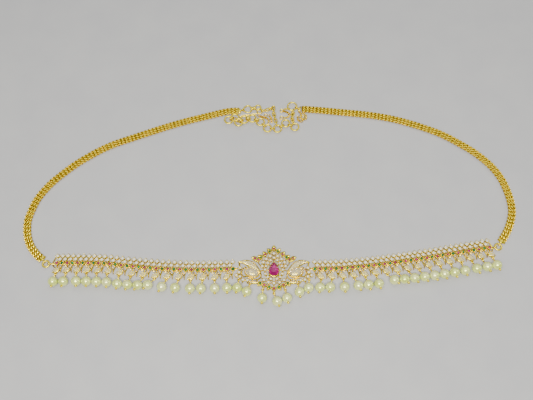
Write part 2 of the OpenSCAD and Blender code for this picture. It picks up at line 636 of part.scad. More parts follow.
// Extension: x, y and level of each large ring, from the right to the free end.
// Where two rings lap over each other, one lies a level higher.
large_rings = [
    [16.6, 114.0, 0], [9.6, 117.1, 0], [3.2, 112.5, 0], [-4.5, 112.8, 0], [-10.0, 118.3, 0],
    [-16.3, 120.8, 1], [-22.6, 120.3, 0], [-26.9, 117.4, 1], [-29.8, 122.1, 0],
    [-34.6, 119.6, 1]];
level_h = large_wire + 0.15;
joining_tilt = 52;
module extension_chain() color(gold) translate([0, 0, flat_z]) {
    for (row = large_rings) translate([row[0], row[1], row[2] * level_h])
        ring(large_ring_d, large_wire);
    for (i = [0 : len(large_rings) - 2]) {
        a = large_rings[i];
        b = large_rings[i + 1];
        translate([(a[0] + b[0]) / 2, (a[1] + b[1]) / 2, (a[2] + b[2]) / 2 * level_h])
            rotate([a[2] == b[2] ? joining_tilt : 90, 0, atan2(b[1] - a[1], b[0] - a[0])])
                ring(joining_ring_d, joining_wire);
    }
}

// Runs of oval links: x, y, z, heading and roll of each link
oval_steps = 14;
module oval_link() {
    straight = (oval_l - oval_w) / 2;
    swept_loop([for (k = [0 : oval_steps - 1]) let (a = 360 * (k + 0.5) / oval_steps)
        [oval_w / 2 * cos(a) + sign(cos(a)) * straight, oval_w / 2 * sin(a)]], oval_wire);
}
hook_links = [
    [-7.4, 128.4, 1.7, 6, 90], [-4.3, 129.2, 1.8, 24, 0], [-1.7, 130.6, 1.7, 30, 90],
    [0.1, 130.3, 1.9, -92, 0], [0.2, 127.6, 1.7, -84, 90], [0.6, 124.9, 1.8, -80, 0],
    [1.1, 122.2, 1.7, -78, 90], [1.7, 119.5, 1.8, -77, 0], [2.4, 116.5, 1.85, -78, 90]];
clasp_links = [
    [15.6, 127.7, 1.8, -95, 90], [15.2, 125.2, 1.8, -100, 0], [14.7, 122.8, 1.7, -96, 90],
    [14.8, 120.3, 1.8, -80, 0], [15.6, 118.0, 1.8, -72, 90]];
module link_run(links) color(gold) for (row = links)
    translate([row[0], row[1], row[2]]) rotate([row[4], 0, row[3]]) oval_link();
module hook_link_chain() link_run(hook_links);
module clasp_link_chain() link_run(clasp_links);

// Gathered loose chain ends, each a plain tube along its route
loose_routes = [
    [[-11.2, 124.3], [-8.3, 123.3], [-5.6, 122.2], [-3.4, 120.4], [-3.8, 118.2]],
    [[6.8, 128.4], [9.4, 128.0], [11.9, 126.6], [12.4, 124.4], [10.4, 122.7], [6.6, 122.6]]];
loose_steps = 2;
module tube(points, d, sides = 10) {
    p = concat([for (i = [0 : len(points) - 2], j = [0 : loose_steps - 1])
        between(points, i, j / loose_steps)], [points[len(points) - 1]]);
    m = len(p);
    polyhedron(
        [for (k = [0 : m - 1], i = [0 : sides - 1])
            let (b = 360 * i / sides, w = d / 2 * cos(b) * line_side(p, k))
            [p[k][0] + w[0], p[k][1] + w[1], d / 2 * sin(b)]],
        concat(
            [[for (i = [0 : sides - 1]) i]],
            [for (k = [0 : m - 2], i = [0 : sides - 1]) let (j = (i + 1) % sides)
                [k * sides + i, (k + 1) * sides + i, (k + 1) * sides + j, k * sides + j]],
            [[for (i = [sides - 1 : -1 : 0]) (m - 1) * sides + i]]));
}
module loose_chain_ends() color(gold)
    for (route = loose_routes) translate([0, 0, loose_d / 2 + 0.05]) tube(route, loose_d);

medallion_frame();
centre_ruby();
medallion_white_stones();
medallion_rubies();
medallion_emeralds();
left_band();
right_band();
band_rubies();
band_emeralds();
left_pearl_pins();
medallion_pearl_pins();
right_pearl_pins();
left_mesh_chain();
right_mesh_chain();
end_rings();
hook_clasp();
hook_link_chain();
extension_chain();
clasp_link_chain();
loose_chain_ends();
for (k = [0 : units(LEFT) - 1])
    band_pearl(LEFT, k);
for (k = [0 : len(medallion_bails) - 1])
    medallion_pearl(k);
for (k = [0 : units(RIGHT) - 1])
    band_pearl(RIGHT, k);
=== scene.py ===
# %% [markdown]
# # A jewelled waist belt
# The belt lies on a table: in front a pierced gold medallion and two openwork bands
# hung with pearls, round the waist two flat woven chains, behind them a hook, small
# links and large rings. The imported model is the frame. It gives the true size and
# place of every piece, and here each piece gets its fine forms and its finish.

# %% Load the frame
import math
import random

import bmesh
import bpy
from mathutils import Matrix, Vector


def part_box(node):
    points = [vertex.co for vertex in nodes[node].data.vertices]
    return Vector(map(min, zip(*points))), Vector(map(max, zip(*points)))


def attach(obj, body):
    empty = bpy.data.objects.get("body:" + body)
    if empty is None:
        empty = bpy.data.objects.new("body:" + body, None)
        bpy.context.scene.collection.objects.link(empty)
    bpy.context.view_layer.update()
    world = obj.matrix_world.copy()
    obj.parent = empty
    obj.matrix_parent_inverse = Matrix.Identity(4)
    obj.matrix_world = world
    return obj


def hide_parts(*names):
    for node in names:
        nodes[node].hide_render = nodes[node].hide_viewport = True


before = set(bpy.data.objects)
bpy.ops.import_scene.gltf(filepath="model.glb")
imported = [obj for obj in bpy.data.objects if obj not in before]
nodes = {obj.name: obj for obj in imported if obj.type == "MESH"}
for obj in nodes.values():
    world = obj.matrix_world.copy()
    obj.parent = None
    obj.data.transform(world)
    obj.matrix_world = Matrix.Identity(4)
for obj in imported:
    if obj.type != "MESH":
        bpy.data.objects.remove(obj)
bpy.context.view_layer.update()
BODY = "root"
MM = 0.001
random.seed(7)

# %% [markdown]
# ## The camera
# The photograph looks down steeply, 68 degrees above the table. Its lens follows from
# the frame's width and a focal length in pixels, so both are named here and the lens
# is worked out. The camera stands back from the point that it looks at.

# %% Camera
PHOTO_WIDTH_PX = 533
FOCAL_PX = 700
SENSOR = 36
ELEVATION = math.radians(68)
DISTANCE = 520 * MM
LOOK_AT = Vector((-5.28, 53.91, 0)) * MM

camera = bpy.data.objects.new("camera", bpy.data.cameras.new("camera"))
camera.data.sensor_width = SENSOR
camera.data.lens = SENSOR * FOCAL_PX / PHOTO_WIDTH_PX
camera.data.clip_start = 0.01
back = Vector((0, -math.cos(ELEVATION), math.sin(ELEVATION)))
camera.location = LOOK_AT + DISTANCE * back
camera.rotation_euler = (-back).to_track_quat("-Z", "Y").to_euler()
bpy.context.scene.collection.objects.link(camera)
bpy.context.scene.camera = camera
print("lens", round(camera.data.lens, 1), "mm")

# %% [markdown]
# ## Soft light
# Polished metal shows what stands around it. A single lamp would leave it black with a
# few sparks, and an even white room would make it flat, so the light is a few large soft
# panels with darker room between them. Each panel faces the belt.


# %% Lights and room
def soft_panel(name, place, width, height, power, color=(1, 1, 1)):
    """A glowing rectangle, in metres and watts, turned towards the belt."""
    light = bpy.data.lights.new(name, "AREA")
    light.shape = "RECTANGLE"
    light.size, light.size_y = width, height
    light.energy, light.color = power, color
    panel = bpy.data.objects.new(name, light)
    panel.location = place
    panel.rotation_euler = (LOOK_AT - panel.location).to_track_quat("-Z", "Y").to_euler()
    bpy.context.scene.collection.objects.link(panel)
    return panel


soft_panel("key_light", Vector((-0.04, -0.3, 0.8)), 0.55, 0.2, 11, (1, 0.98, 0.94))
soft_panel("ceiling_light", Vector((0, 0.42, 0.9)), 1.3, 0.9, 4.4, (0.98, 0.98, 1))
soft_panel("side_light", Vector((0.85, 0.2, 0.45)), 0.3, 0.3, 1.2)
room = bpy.data.worlds.new("room")
bpy.context.scene.world = room
room.use_nodes = True
room.node_tree.nodes["Background"].inputs["Color"].default_value = (0.62, 0.64, 0.68, 1)
room.node_tree.nodes["Background"].inputs["Strength"].default_value = 0.3
print("lights", len(bpy.data.lights))

# %% [markdown]
# ## Shader maths as expressions
# A finish is easier to read as an expression than as a list of nodes and links. Signal
# wraps an output socket, so that plus, minus and times add Math nodes. Finish holds one
# material, and its node() adds any other node.


# %% Finish and Signal
class Signal:
    def __init__(self, finish, socket):
        self.finish = finish
        self.socket = socket

    def maths(self, operation, first, second):
        return self.finish.node(
            "ShaderNodeMath", {"operation": operation}, {0: first, 1: second}, "Value")

    def __add__(self, other):
        return self.maths("ADD", self, other)

    def __radd__(self, other):
        return self.maths("ADD", other, self)

    def __sub__(self, other):
        return self.maths("SUBTRACT", self, other)

    def __rsub__(self, other):
        return self.maths("SUBTRACT", other, self)

    def __mul__(self, other):
        return self.maths("MULTIPLY", self, other)

    def __rmul__(self, other):
        return self.maths("MULTIPLY", other, self)


class Finish:
    def __init__(self, name, **constants):
        self.material = bpy.data.materials.new(name)
        self.material.use_nodes = True
        self.tree = self.material.node_tree
        self.shader = self.tree.nodes["Principled BSDF"]
        self.fill(self.shader, {key.replace("_", " "): value for key, value in constants.items()})

    def fill(self, node, values):
        for key, value in values.items():
            if isinstance(value, Signal):
                self.tree.links.new(value.socket, node.inputs[key])
            else:
                node.inputs[key].default_value = value

    def node(self, kind, settings, values, output):
        made = self.tree.nodes.new(kind)
        for key, value in settings.items():
            if key == "stops":
                while len(made.color_ramp.elements) < len(value):
                    made.color_ramp.elements.new(0.5)
                for element, (place, color) in zip(made.color_ramp.elements, value):
                    element.position, element.color = place, color
            else:
                setattr(made, key, value)
        self.fill(made, values)
        return Signal(self, made.outputs[output])

    def place(self):
        return self.node("ShaderNodeTexCoord", {}, {}, "Object")

    def noise(self, scale, detail=2.0, roughness=0.5):
        return self.node("ShaderNodeTexNoise", {}, {
            "Vector": self.place(), "Scale": scale, "Detail": detail, "Roughness": roughness}, "Fac")

    def cells(self, scale):
        return self.node("ShaderNodeTexVoronoi", {}, {
            "Vector": self.place(), "Scale": scale}, "Distance")

    def away(self, level, full):
        """0 at a level above the table, 1 from the full height on or as far below, in mm."""
        z = self.node("ShaderNodeSeparateXYZ", {}, {"Vector": self.place()}, "Z")
        distance = z.maths("ABSOLUTE", z - level * MM, 0)
        return self.node("ShaderNodeMapRange", {}, {
            "Value": distance, "From Max": (full - level) * MM}, "Result")

    def ramp(self, signal, stops):
        return self.node("ShaderNodeValToRGB", {"stops": stops}, {"Fac": signal}, "Color")

    def bump(self, height, strength, distance):
        return self.node("ShaderNodeBump", {}, {
            "Height": height, "Strength": strength, "Distance": distance}, "Normal")

    def wear(self, **signals):
        self.fill(self.shader, {key.replace("_", " "): value for key, value in signals.items()})
        return self.material


print("shader tools ready")

# %% [markdown]
# ## Gold plating
# The belt is brass plated with yellow gold. Its colour is painted by height: lighter and
# yellower where a part stands out, darker and browner in the hollows between settings
# and links. That is painted shade where recesses and the sides of wires lie in shadow,
# with a little real polish on what stands out. How far a point is from the level of the
# hollows sets both: above the plate for the settings, and above and below the middle for
# a chain. One noise adds patches where the plating is thinner, and a finer one is the cast
# grain.


# %% Gold
def gold_finish(name, painted_shade_color, gloss, grain, heights):
    """Gold with its hollows' painted shade, roughness, grain, and heights of painted light and
    polish.
    """
    finish = Finish(name, Metallic=1.0)
    polish_and_painted_light = finish.away(*heights)
    patches = finish.noise(260, 3.0)
    pits = finish.noise(2600, 2.0, 0.6)
    return finish.wear(
        # painted shade: darker and browner low in the hollows, lighter and yellower higher up
        Base_Color=finish.ramp(0.75 * polish_and_painted_light + 0.35 * patches - 0.05, [
            (0.1, painted_shade_color), (0.5, (0.9, 0.6, 0.015, 1)), (0.8, (1, 0.79, 0.035, 1))]),
        Roughness=gloss + 0.16 * patches - 0.06 * polish_and_painted_light,
        Normal=finish.bump(pits, grain, 0.05 * MM))


# each first colour is the painted shade of that finish's hollows; the weave's lies at its middle
# height
gold = gold_finish("gold_plating", (0.3, 0.14, 0.008, 1), 0.2, 0.25, (0.2, 1.7))
wire_gold = gold_finish("gold_wire", (0.46, 0.25, 0.01, 1), 0.3, 0.15, (0.4, 1.9))
woven_gold = gold_finish("gold_weave", (0.55, 0.31, 0.03, 1), 0.26, 0.15, (1.3, 1.8))
inner_gold = gold_finish("gold_in_shade", (0.2, 0.1, 0.015, 1), 0.6, 0.3, (1.3, 9))
print("gold finishes", gold.name, wire_gold.name, woven_gold.name, inner_gold.name)

# %% [markdown]
# ## Stones
# Rubies are a pink magenta, emeralds a deep green, and the white stones are colourless.
# They are set closed, with foil or metal behind, so light comes back out of them rather
# than through. Cutting the inner facets of stones this small would cost many faces, so
# cells of a Voronoi pattern tilt the surface like facets. The same cells paint each facet
# lighter in its middle and darker at its edge, as painted glints and painted dark
# reflections, over clouds that are the stone's own uneven tone.


# %% Stone finishes
def stone_finish(name, dark, light, facets, ior, coat=0.0, metallic=0.0, sparkle=0.5):
    finish = Finish(name, Metallic=metallic, IOR=ior, Coat_Weight=coat, Coat_Roughness=0.02)
    clouds = finish.noise(0.6 * facets, 2.0)
    facet_cells_and_painted_glints = finish.cells(facets)
    return finish.wear(
        # painted glints: each cell lighter in its middle and darker at its edge; the clouds are the
        # stone's own tone
        Base_Color=finish.ramp(clouds + 0.5 * facet_cells_and_painted_glints - 0.2, [(0.3, light), (0.62, dark)]),
        Roughness=0.05 + 0.06 * clouds,
        Normal=finish.bump(facet_cells_and_painted_glints, sparkle, 140 / facets * MM))


ruby = stone_finish("ruby", (0.2, 0.001, 0.07, 1), (0.5, 0.004, 0.21, 1), 700, 1.6)
emerald = stone_finish("emerald", (0, 0.08, 0.02, 1), (0.008, 0.29, 0.075, 1), 1000, 1.55)
white_stone = stone_finish(
    "white_stone", (0.82, 0.83, 0.85, 1), (1, 1, 0.99, 1), 1300, 1.9, 0.8, 0.15)
paving_stone = stone_finish(
    "paving_stone", (0.6, 0.53, 0.36, 1), (0.9, 0.86, 0.72, 1), 1600, 1.8, 0.6, 0.2)
print("stone finishes", ruby.name, emerald.name, white_stone.name, paving_stone.name)

# %% [markdown]
# ## Pearl lustre
# The pearls are cream with a yellow green tint, darker at the rim, and each has one small
# strong highlight. Light that enters the nacre could be traced, but on beads this small it
# gives a flat pale disc. A base that is a little metallic keeps the tint deep instead,
# and a clear coat gives the highlight. Growth clouds change the tint from pearl to pearl.


# %% Pearl finish
def pearl_finish():
    finish = Finish("pearl_lustre", Metallic=0.3, Coat_Weight=1.0, Coat_Roughness=0.05, IOR=2.0)
    clouds = finish.noise(110, 3.0)
    layers = finish.noise(1300, 2.0)
    return finish.wear(
        Base_Color=finish.ramp(0.8 * clouds + 0.2 * layers, [
            (0.35, (0.79, 0.89, 0.17, 1)), (0.5, (0.89, 0.98, 0.28, 1)),
            (0.65, (0.97, 1, 0.42, 1))]),
        Roughness=0.2 + 0.1 * layers,
        Normal=finish.bump(layers, 0.05, 0.05 * MM))


pearl = pearl_finish()
print("pearl finish", pearl.name)

# %% [markdown]
# ## The table
# The belt lies on a plain pale surface. It isn't part of the belt, and a wide faint noise
# keeps it from being one flat grey.

# %% Table
table_finish = Finish("pale_table", Roughness=0.6)
table_grain = table_finish.noise(40, 3.0)
table_finish.wear(Base_Color=table_finish.ramp(
    table_grain, [(0.3, (0.45, 0.45, 0.45, 1)), (0.7, (0.48, 0.48, 0.47, 1))]))
TABLE_REACH = 3
top = bmesh.new()
bmesh.ops.create_grid(top, x_segments=1, y_segments=1, size=TABLE_REACH)
table_mesh = bpy.data.meshes.new("table")
top.to_mesh(table_mesh)
top.free()
table = bpy.data.objects.new("table", table_mesh)
table_mesh.materials.append(table_finish.material)
bpy.context.scene.collection.objects.link(table)
print("table reaches", TABLE_REACH, "m each way")

# %% [markdown]
# ## Wire
# A goldsmith works with wire, sheet, turned collets and castings that repeat many times,
# and each of these gets a tool. A curve with a bevel could be a wire, but its section
# keeps one shape. draw_wire extrudes a ring of edges from point to point instead, so a
# wire can be flattened, and can swell or taper on its way. Its faces are turned outwards
# at once, because where wires meet at a point a later pass can mistake the inside.

# %% Wire
UP = Vector((0, 0, 1))


def wire_frame(points, i, size, closed):
    """Where the wire's section stands at point i, how it is turned, and how large it is."""
    count = len(points)
    after = points[(i + 1) % count] if closed else points[min(i + 1, count - 1)]
    before = points[i - 1] if closed else points[max(i - 1, 0)]
    along = (after - before).normalized()
    side = along.cross(UP).normalized()
    place = Matrix((side * size[0] / 2, side.cross(along) * size[1] / 2, along))
    place = place.transposed().to_4x4()
    place.translation = points[i]
    return place


def draw_wire(bm, points, sizes, sides=8, closed=False):
    """Wire along points, of oval section: sizes are a width and a height at each point."""
    points = [Vector(p) for p in points]
    if isinstance(sizes, tuple):
        sizes = [sizes] * len(points)
    places = [wire_frame(points, i, size, closed) for i, size in enumerate(sizes)]
    ring = bmesh.ops.create_circle(bm, segments=sides, radius=1, matrix=places[0])["verts"]
    first = edges = list(dict.fromkeys(edge for vert in ring for edge in vert.link_edges))
    made = list(ring)
    for before, after in zip(places, places[1:]):
        grown = bmesh.ops.extrude_edge_only(bm, edges=edges)["geom"]
        verts = [item for item in grown if isinstance(item, bmesh.types.BMVert)]
        made += verts
        edges = [item for item in grown
                 if isinstance(item, bmesh.types.BMEdge) and item.is_boundary]
        bmesh.ops.transform(bm, matrix=after @ before.inverted(), verts=verts)
    if closed:
        bmesh.ops.bridge_loops(bm, edges=first + edges)
    else:
        bmesh.ops.contextual_create(bm, geom=first)
        bmesh.ops.contextual_create(bm, geom=edges)
    faces = dict.fromkeys(face for vert in made for face in vert.link_faces)
    bmesh.ops.recalc_face_normals(bm, faces=list(faces))


def smooth_rows(rows, steps=5):
    """Rows of numbers along a smooth curve through the rows given."""
    made = []
    for i in range(len(rows) - 1):
        a, b = rows[max(i - 1, 0)], rows[i]
        c, d = rows[i + 1], rows[min(i + 2, len(rows) - 1)]
        for step in range(steps):
            t = step / steps
            made.append([
                (2 * q + (r - p) * t + (2 * p - 5 * q + 4 * r - s) * t ** 2
                 + (3 * q - p - 3 * r + s) * t ** 3) / 2
                for p, q, r, s in zip(a, b, c, d)])
    return made + [list(rows[-1])]


print("wire tool ready")

# %% [markdown]
# ## Turned and raised work
# A collet or a pearl is a profile spun round z, as on a lathe. A head or a leaf starts as
# an outline that is raised to a plate. An inset and a push downwards sink a seat into it,
# and shrinking steps upwards make it swell. A Boolean cut could sink a seat too, but it
# leaves long thin faces that shade badly once the edges are rounded.


# %% Turned work and plates
def as_mesh(bm, name, whole=True):
    """The bmesh as a mesh to be stamped; one that isn't whole is made of finished parts."""
    if whole:
        bmesh.ops.remove_doubles(bm, verts=bm.verts, dist=1e-4)
        bmesh.ops.recalc_face_normals(bm, faces=bm.faces)
    mesh = bpy.data.meshes.new(name)
    bm.to_mesh(mesh)
    bm.free()
    return mesh


def turned(name, profile, steps=24):
    """A profile of radius and height, spun round z."""
    bm = bmesh.new()
    verts = [bm.verts.new((radius, 0, height)) for radius, height in profile]
    edges = [bm.edges.new(pair) for pair in zip(verts, verts[1:])]
    bmesh.ops.spin(bm, geom=verts + edges, cent=(0, 0, 0), axis=(0, 0, 1),
                   angle=2 * math.pi, steps=steps, use_merge=True)
    return as_mesh(bm, name)


def plate(bm, outline, low, high):
    """A flat outline raised from low to high; gives its top face."""
    face = bm.faces.new([bm.verts.new((x, y, low)) for x, y in outline])
    grown = bmesh.ops.extrude_face_region(bm, geom=[face], use_keep_orig=True)["geom"]
    bmesh.ops.translate(bm, vec=(0, 0, high - low),
                        verts=[v for v in grown if isinstance(v, bmesh.types.BMVert)])
    return next(f for f in grown if isinstance(f, bmesh.types.BMFace))


print("lathe and plate ready")


# %% Sunk, swelling and softened plates
def sink(bm, face, wall, depth):
    """Sinks the middle of a face, and leaves a rim of the wall's width; gives the floor."""
    bmesh.ops.inset_region(bm, faces=[face], thickness=wall, use_even_offset=True)
    grown = bmesh.ops.extrude_face_region(bm, geom=[face])["geom"]
    bmesh.ops.translate(bm, vec=(0, 0, -depth),
                        verts=[v for v in grown if isinstance(v, bmesh.types.BMVert)])
    return next(f for f in grown if isinstance(f, bmesh.types.BMFace))


def swell(bm, face, rows):
    """Raises a face in steps; each row is a rise and the share of its size that is left."""
    for rise, share in rows:
        grown = bmesh.ops.extrude_face_region(bm, geom=[face])["geom"]
        verts = [v for v in grown if isinstance(v, bmesh.types.BMVert)]
        face = next(f for f in grown if isinstance(f, bmesh.types.BMFace))
        middle = face.calc_center_bounds()
        bmesh.ops.scale(bm, vec=(share, share, 1), space=Matrix.Translation(-middle), verts=verts)
        bmesh.ops.translate(bm, vec=(0, 0, rise), verts=verts)


def soften(bm, offset, segments=1):
    """Rounds every edge a little, as polishing does."""
    bmesh.ops.recalc_face_normals(bm, faces=bm.faces)
    edges = [edge for edge in bm.edges if edge.is_manifold
             and edge.calc_face_angle(0) > math.radians(30)]
    bmesh.ops.bevel(bm, geom=edges, offset=offset, segments=segments, profile=0.5,
                    affect="EDGES", material=-1)


print("seats and edges ready")

# %% [markdown]
# ## Copies, and handing a piece over
# Collets, heads, links and stones repeat by the hundred. Objects that share a mesh would
# be many pieces, while the real band is one piece of soldered metal. So each small part
# is made once, and stamp adds it to the larger piece at every place. finished hands a
# piece over: it goes from millimetres to metres, with its place in its mesh.


# %% Stamped copies and finished pieces
def stamp(bm, mesh, matrix):
    """Adds a copy of a small mesh; a mirrored copy has its faces turned back outwards."""
    copy = mesh.copy()
    copy.transform(matrix)
    if matrix.determinant() < 0:
        copy.flip_normals()
    bm.from_mesh(copy)
    bpy.data.meshes.remove(copy)


def spot(x, y, z=0.0, turn=0.0, grow=1.0):
    """A place: moved to x, y, z, turned by degrees about z, and grown."""
    return (Matrix.Translation((x, y, z)) @ Matrix.Rotation(math.radians(turn), 4, "Z")
            @ Matrix.Scale(grow, 4))


def finished(name, bm, material, replaces=(), crease=40):
    """Makes a piece of a bmesh in millimetres, and lets it ride on the belt."""
    bmesh.ops.scale(bm, vec=(MM, MM, MM), verts=bm.verts)
    mesh = bpy.data.meshes.new(name)
    bm.to_mesh(mesh)
    bm.free()
    mesh.materials.append(material)
    if crease:
        mesh.shade_smooth()
        mesh.set_sharp_from_angle(angle=math.radians(crease))
    piece = bpy.data.objects.new(name, mesh)
    bpy.context.scene.collection.objects.link(piece)
    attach(piece, BODY)
    if replaces:
        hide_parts(*replaces)
    print(name, "triangles", sum(len(face.vertices) - 2 for face in mesh.polygons))


print("stamp and hand-over ready")

# %% [markdown]
# ## Where the stones are
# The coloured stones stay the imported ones. Each is a loose part of its node, so the
# middles of the loose parts say where the units of the bands are, and how they turn.


# %% Middles of loose parts
def middles(node):
    """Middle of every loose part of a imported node, in millimetres."""
    bm = bmesh.new()
    bm.from_mesh(nodes[node].data)
    bmesh.ops.remove_doubles(bm, verts=bm.verts, dist=0.002 * MM)
    left = set(bm.verts)
    found = []
    while left:
        part = [left.pop()]
        for vert in part:
            for edge in vert.link_edges:
                other = edge.other_vert(vert)
                if other in left:
                    left.remove(other)
                    part.append(other)
        xs, ys = [v.co.x / MM for v in part], [v.co.y / MM for v in part]
        found.append(Vector(((min(xs) + max(xs)) / 2, (min(ys) + max(ys)) / 2, 0)))
    bm.free()
    return found


greens = middles("band_emeralds")
pinks = middles("band_rubies")
print("greens", len(greens), "pinks", len(pinks))

# %% [markdown]
# ## Small parts that repeat
# A collet is a turned ring with claws bent over the stone. Claws and grains are tiny
# balls, with few faces, because there are thousands of them.

# %% Balls and collets
PLATE_T = 1.2


def ball(name, radius, across=8, down=5, flatten=1.0):
    bm = bmesh.new()
    bmesh.ops.create_uvsphere(bm, u_segments=across, v_segments=down, radius=radius,
                              matrix=Matrix.Diagonal((1, 1, flatten, 1)))
    return as_mesh(bm, name)


def collet(name, outer, inner, top, claws, claw_d, steps=24):
    """A turned collet from the table up to top, with claws over the stone's edge."""
    wall = outer - inner
    body = turned(name + "_body", [
        (0, 0), (outer - 0.15, 0), (outer, 0.2), (outer - 0.12 * wall, top - 0.3 * wall),
        (outer - 0.35 * wall, top), (inner + 0.15 * wall, top), (inner, top - 0.15),
        (inner, PLATE_T), (0, PLATE_T)], steps)
    claw = ball(name + "_claw", claw_d / 2, 7, 5, 1.25)
    bm = bmesh.new()
    bm.from_mesh(body)
    for i in range(claws):
        angle = 2 * math.pi * (i + 0.5) / claws
        reach = inner + 0.1 * claw_d
        stamp(bm, claw, spot(reach * math.cos(angle), reach * math.sin(angle), top + 0.05))
    return as_mesh(bm, name)


COLLET_TOP = PLATE_T + 1.2
band_collet = collet("band_collet", 1.62, 1.1, COLLET_TOP, 6, 0.62)
grain = ball("grain", 0.17, 6, 4)
print("collet and grain", len(band_collet.polygons), len(grain.polygons), "faces")

# %% [markdown]
# ## Cut stones and square heads
# A small cut stone shows its flat table and a ring of facets. Two cones make it, one for
# the crown and one for the part below, and a wave of four round its edge draws a round
# cut out to a square. Its head is a small box on its corner, with a claw at each corner.


# %% Stones and heads
def gem(name, radius, sides, crown, pavilion, table=0.58, square=0.0):
    """A cut stone with its edge at z = 0; square draws its corners out."""
    bm = bmesh.new()
    bmesh.ops.create_cone(bm, segments=sides, radius1=radius, radius2=radius * table,
                          depth=crown, cap_ends=True, matrix=Matrix.Translation((0, 0, crown / 2)))
    bmesh.ops.create_cone(bm, segments=sides, radius1=0.06 * radius, radius2=radius,
                          depth=pavilion, cap_ends=True,
                          matrix=Matrix.Translation((0, 0, -pavilion / 2)))
    inside = [face for face in bm.faces if abs(face.calc_center_median().z) < 1e-4]
    bmesh.ops.delete(bm, geom=inside, context="FACES_ONLY")
    bmesh.ops.remove_doubles(bm, verts=bm.verts, dist=1e-4)
    for vert in bm.verts:
        angle = math.atan2(vert.co.y, vert.co.x)
        vert.co.xy *= 1 + square * math.cos(4 * angle)
    return as_mesh(bm, name)


def square_head(name, side, top):
    """A head for a square stone, set on its corner, with a claw at each corner."""
    half = side / math.sqrt(2)
    bm = bmesh.new()
    face = plate(bm, [(half, 0), (0, half), (-half, 0), (0, -half)], 0, top)
    sink(bm, face, 0.3, 0.35)
    soften(bm, 0.06)
    claw = ball(name + "_claw", 0.27, 7, 5, 1.2)
    for i in range(4):
        stamp(bm, claw, spot(0, 0, 0, 90 * i) @ Matrix.Translation((half - 0.22, 0, top + 0.05)))
    return as_mesh(bm, name)


HEAD_TOP = PLATE_T + 0.9
band_head = square_head("band_head", 2.4, HEAD_TOP)
square_gem = gem("square_gem", 1.08, 8, 0.45, 0.5, 0.5, 0.1)
seed_gem = gem("seed_gem", 0.5, 8, 0.22, 0.2)
print("head and stone", len(band_head.polygons), len(square_gem.polygons), "faces")

# %% [markdown]
# ## One unit of the band
# A unit has a green and a pink collet, two square heads above each, a paved mango drop
# under the pink, a forked leaf under the green, a small loop to the unit before, and a
# bail. It is made once for each pitch, as metal, as square stones and as paving, and
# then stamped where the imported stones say.

# %% Measures and outlines of a unit
TOP_ROW, SECOND_ROW = 5.3, 2.9
DROP_W, DROP_L, DROP_TURN = 3.9, 5.7, -124
DROP_AT = (0.6, -5.2)
BAIL_AT = (0.6, -7.6)
BAIL_D, BAIL_WIRE = 1.6, 0.6
BAIL_Z = (BAIL_D + BAIL_WIRE) / 2 + 0.08
LEAF_STEM = [(0, -1.2, 0.8), (0.4, -3.0, 0.9), (0.9, -4.6, 1.0), (0.5, -7.0, 0.5)]
LEAF_ARM = [(-1.5, -1.3, 0.8), (-2.2, -2.8, 0.8)]
LEAF_ARM_END = (0.8, -4.6, 0.9)
PEAR_WIDEST = 8 / (3 * math.sqrt(3))


def pear(width, length, count=24):
    """A pear outline with its tip at +y."""
    angles = [2 * math.pi * i / count for i in range(count)]
    return [(-width / PEAR_WIDEST * math.sin(a) * math.sin(a / 2), length / 2 * math.cos(a))
            for a in angles]


def flat_wire(bm, rows, z, height, sides=8):
    """Wire along rows of x, y and width, all at one height."""
    rows = smooth_rows(rows) if len(rows) > 2 else rows
    draw_wire(bm, [(x, y, z) for x, y, _ in rows], [(w, height) for _, _, w in rows], sides)


print("bail's middle is", round(BAIL_Z, 2), "mm above the table")

# %% Drop, bail and link
MANGO_STONES = [
    (0, 1.9, 0.85), (-0.55, 0.95, 1), (0.55, 0.95, 1), (-1.1, -0.1, 1.1), (0, 0, 1.15),
    (1.1, -0.1, 1.1), (-0.75, -1.15, 1.15), (0.75, -1.15, 1.15), (0, -2.05, 1.1),
    (-1.35, -1.1, 0.6), (1.35, -1.1, 0.6)]


def torus(name, diameter, wire, around=24, sides=10):
    """A flat ring of wire round z."""
    bm = bmesh.new()
    points = [(diameter / 2 * math.cos(2 * math.pi * i / around),
               diameter / 2 * math.sin(2 * math.pi * i / around), 0) for i in range(around)]
    draw_wire(bm, points, (wire, wire), sides, closed=True)
    return as_mesh(bm, name)


def mango():
    """A paved drop: a rim of grains round a domed field; metal and stones."""
    bm = bmesh.new()
    top = plate(bm, pear(DROP_W, DROP_L), 0, PLATE_T + 0.45)
    swell(bm, top, [(0.25, 0.9), (0.25, 0.8), (0.1, 0.6)])
    for x, y in pear(DROP_W - 0.15, DROP_L - 0.2, 22):
        stamp(bm, grain, spot(x, y, PLATE_T + 0.5, 0, 1.35))
    stones = bmesh.new()
    for x, y, grow in MANGO_STONES:
        lift = 0.55 + 0.5 * (1 - (2 * x / DROP_W) ** 2)
        stamp(stones, seed_gem, spot(x, y, PLATE_T + lift, 0, grow))
    return as_mesh(bm, "mango"), as_mesh(stones, "mango_stones")


drop_metal, drop_stones = mango()
bail_ring = torus("bail_ring", BAIL_D, BAIL_WIRE)
link_ring = torus("link_ring", 1.5, 0.5, 16, 8)
print("drop with", len(MANGO_STONES), "stones")


# %% Metal and stones of a unit
LEANS = (2, 7)


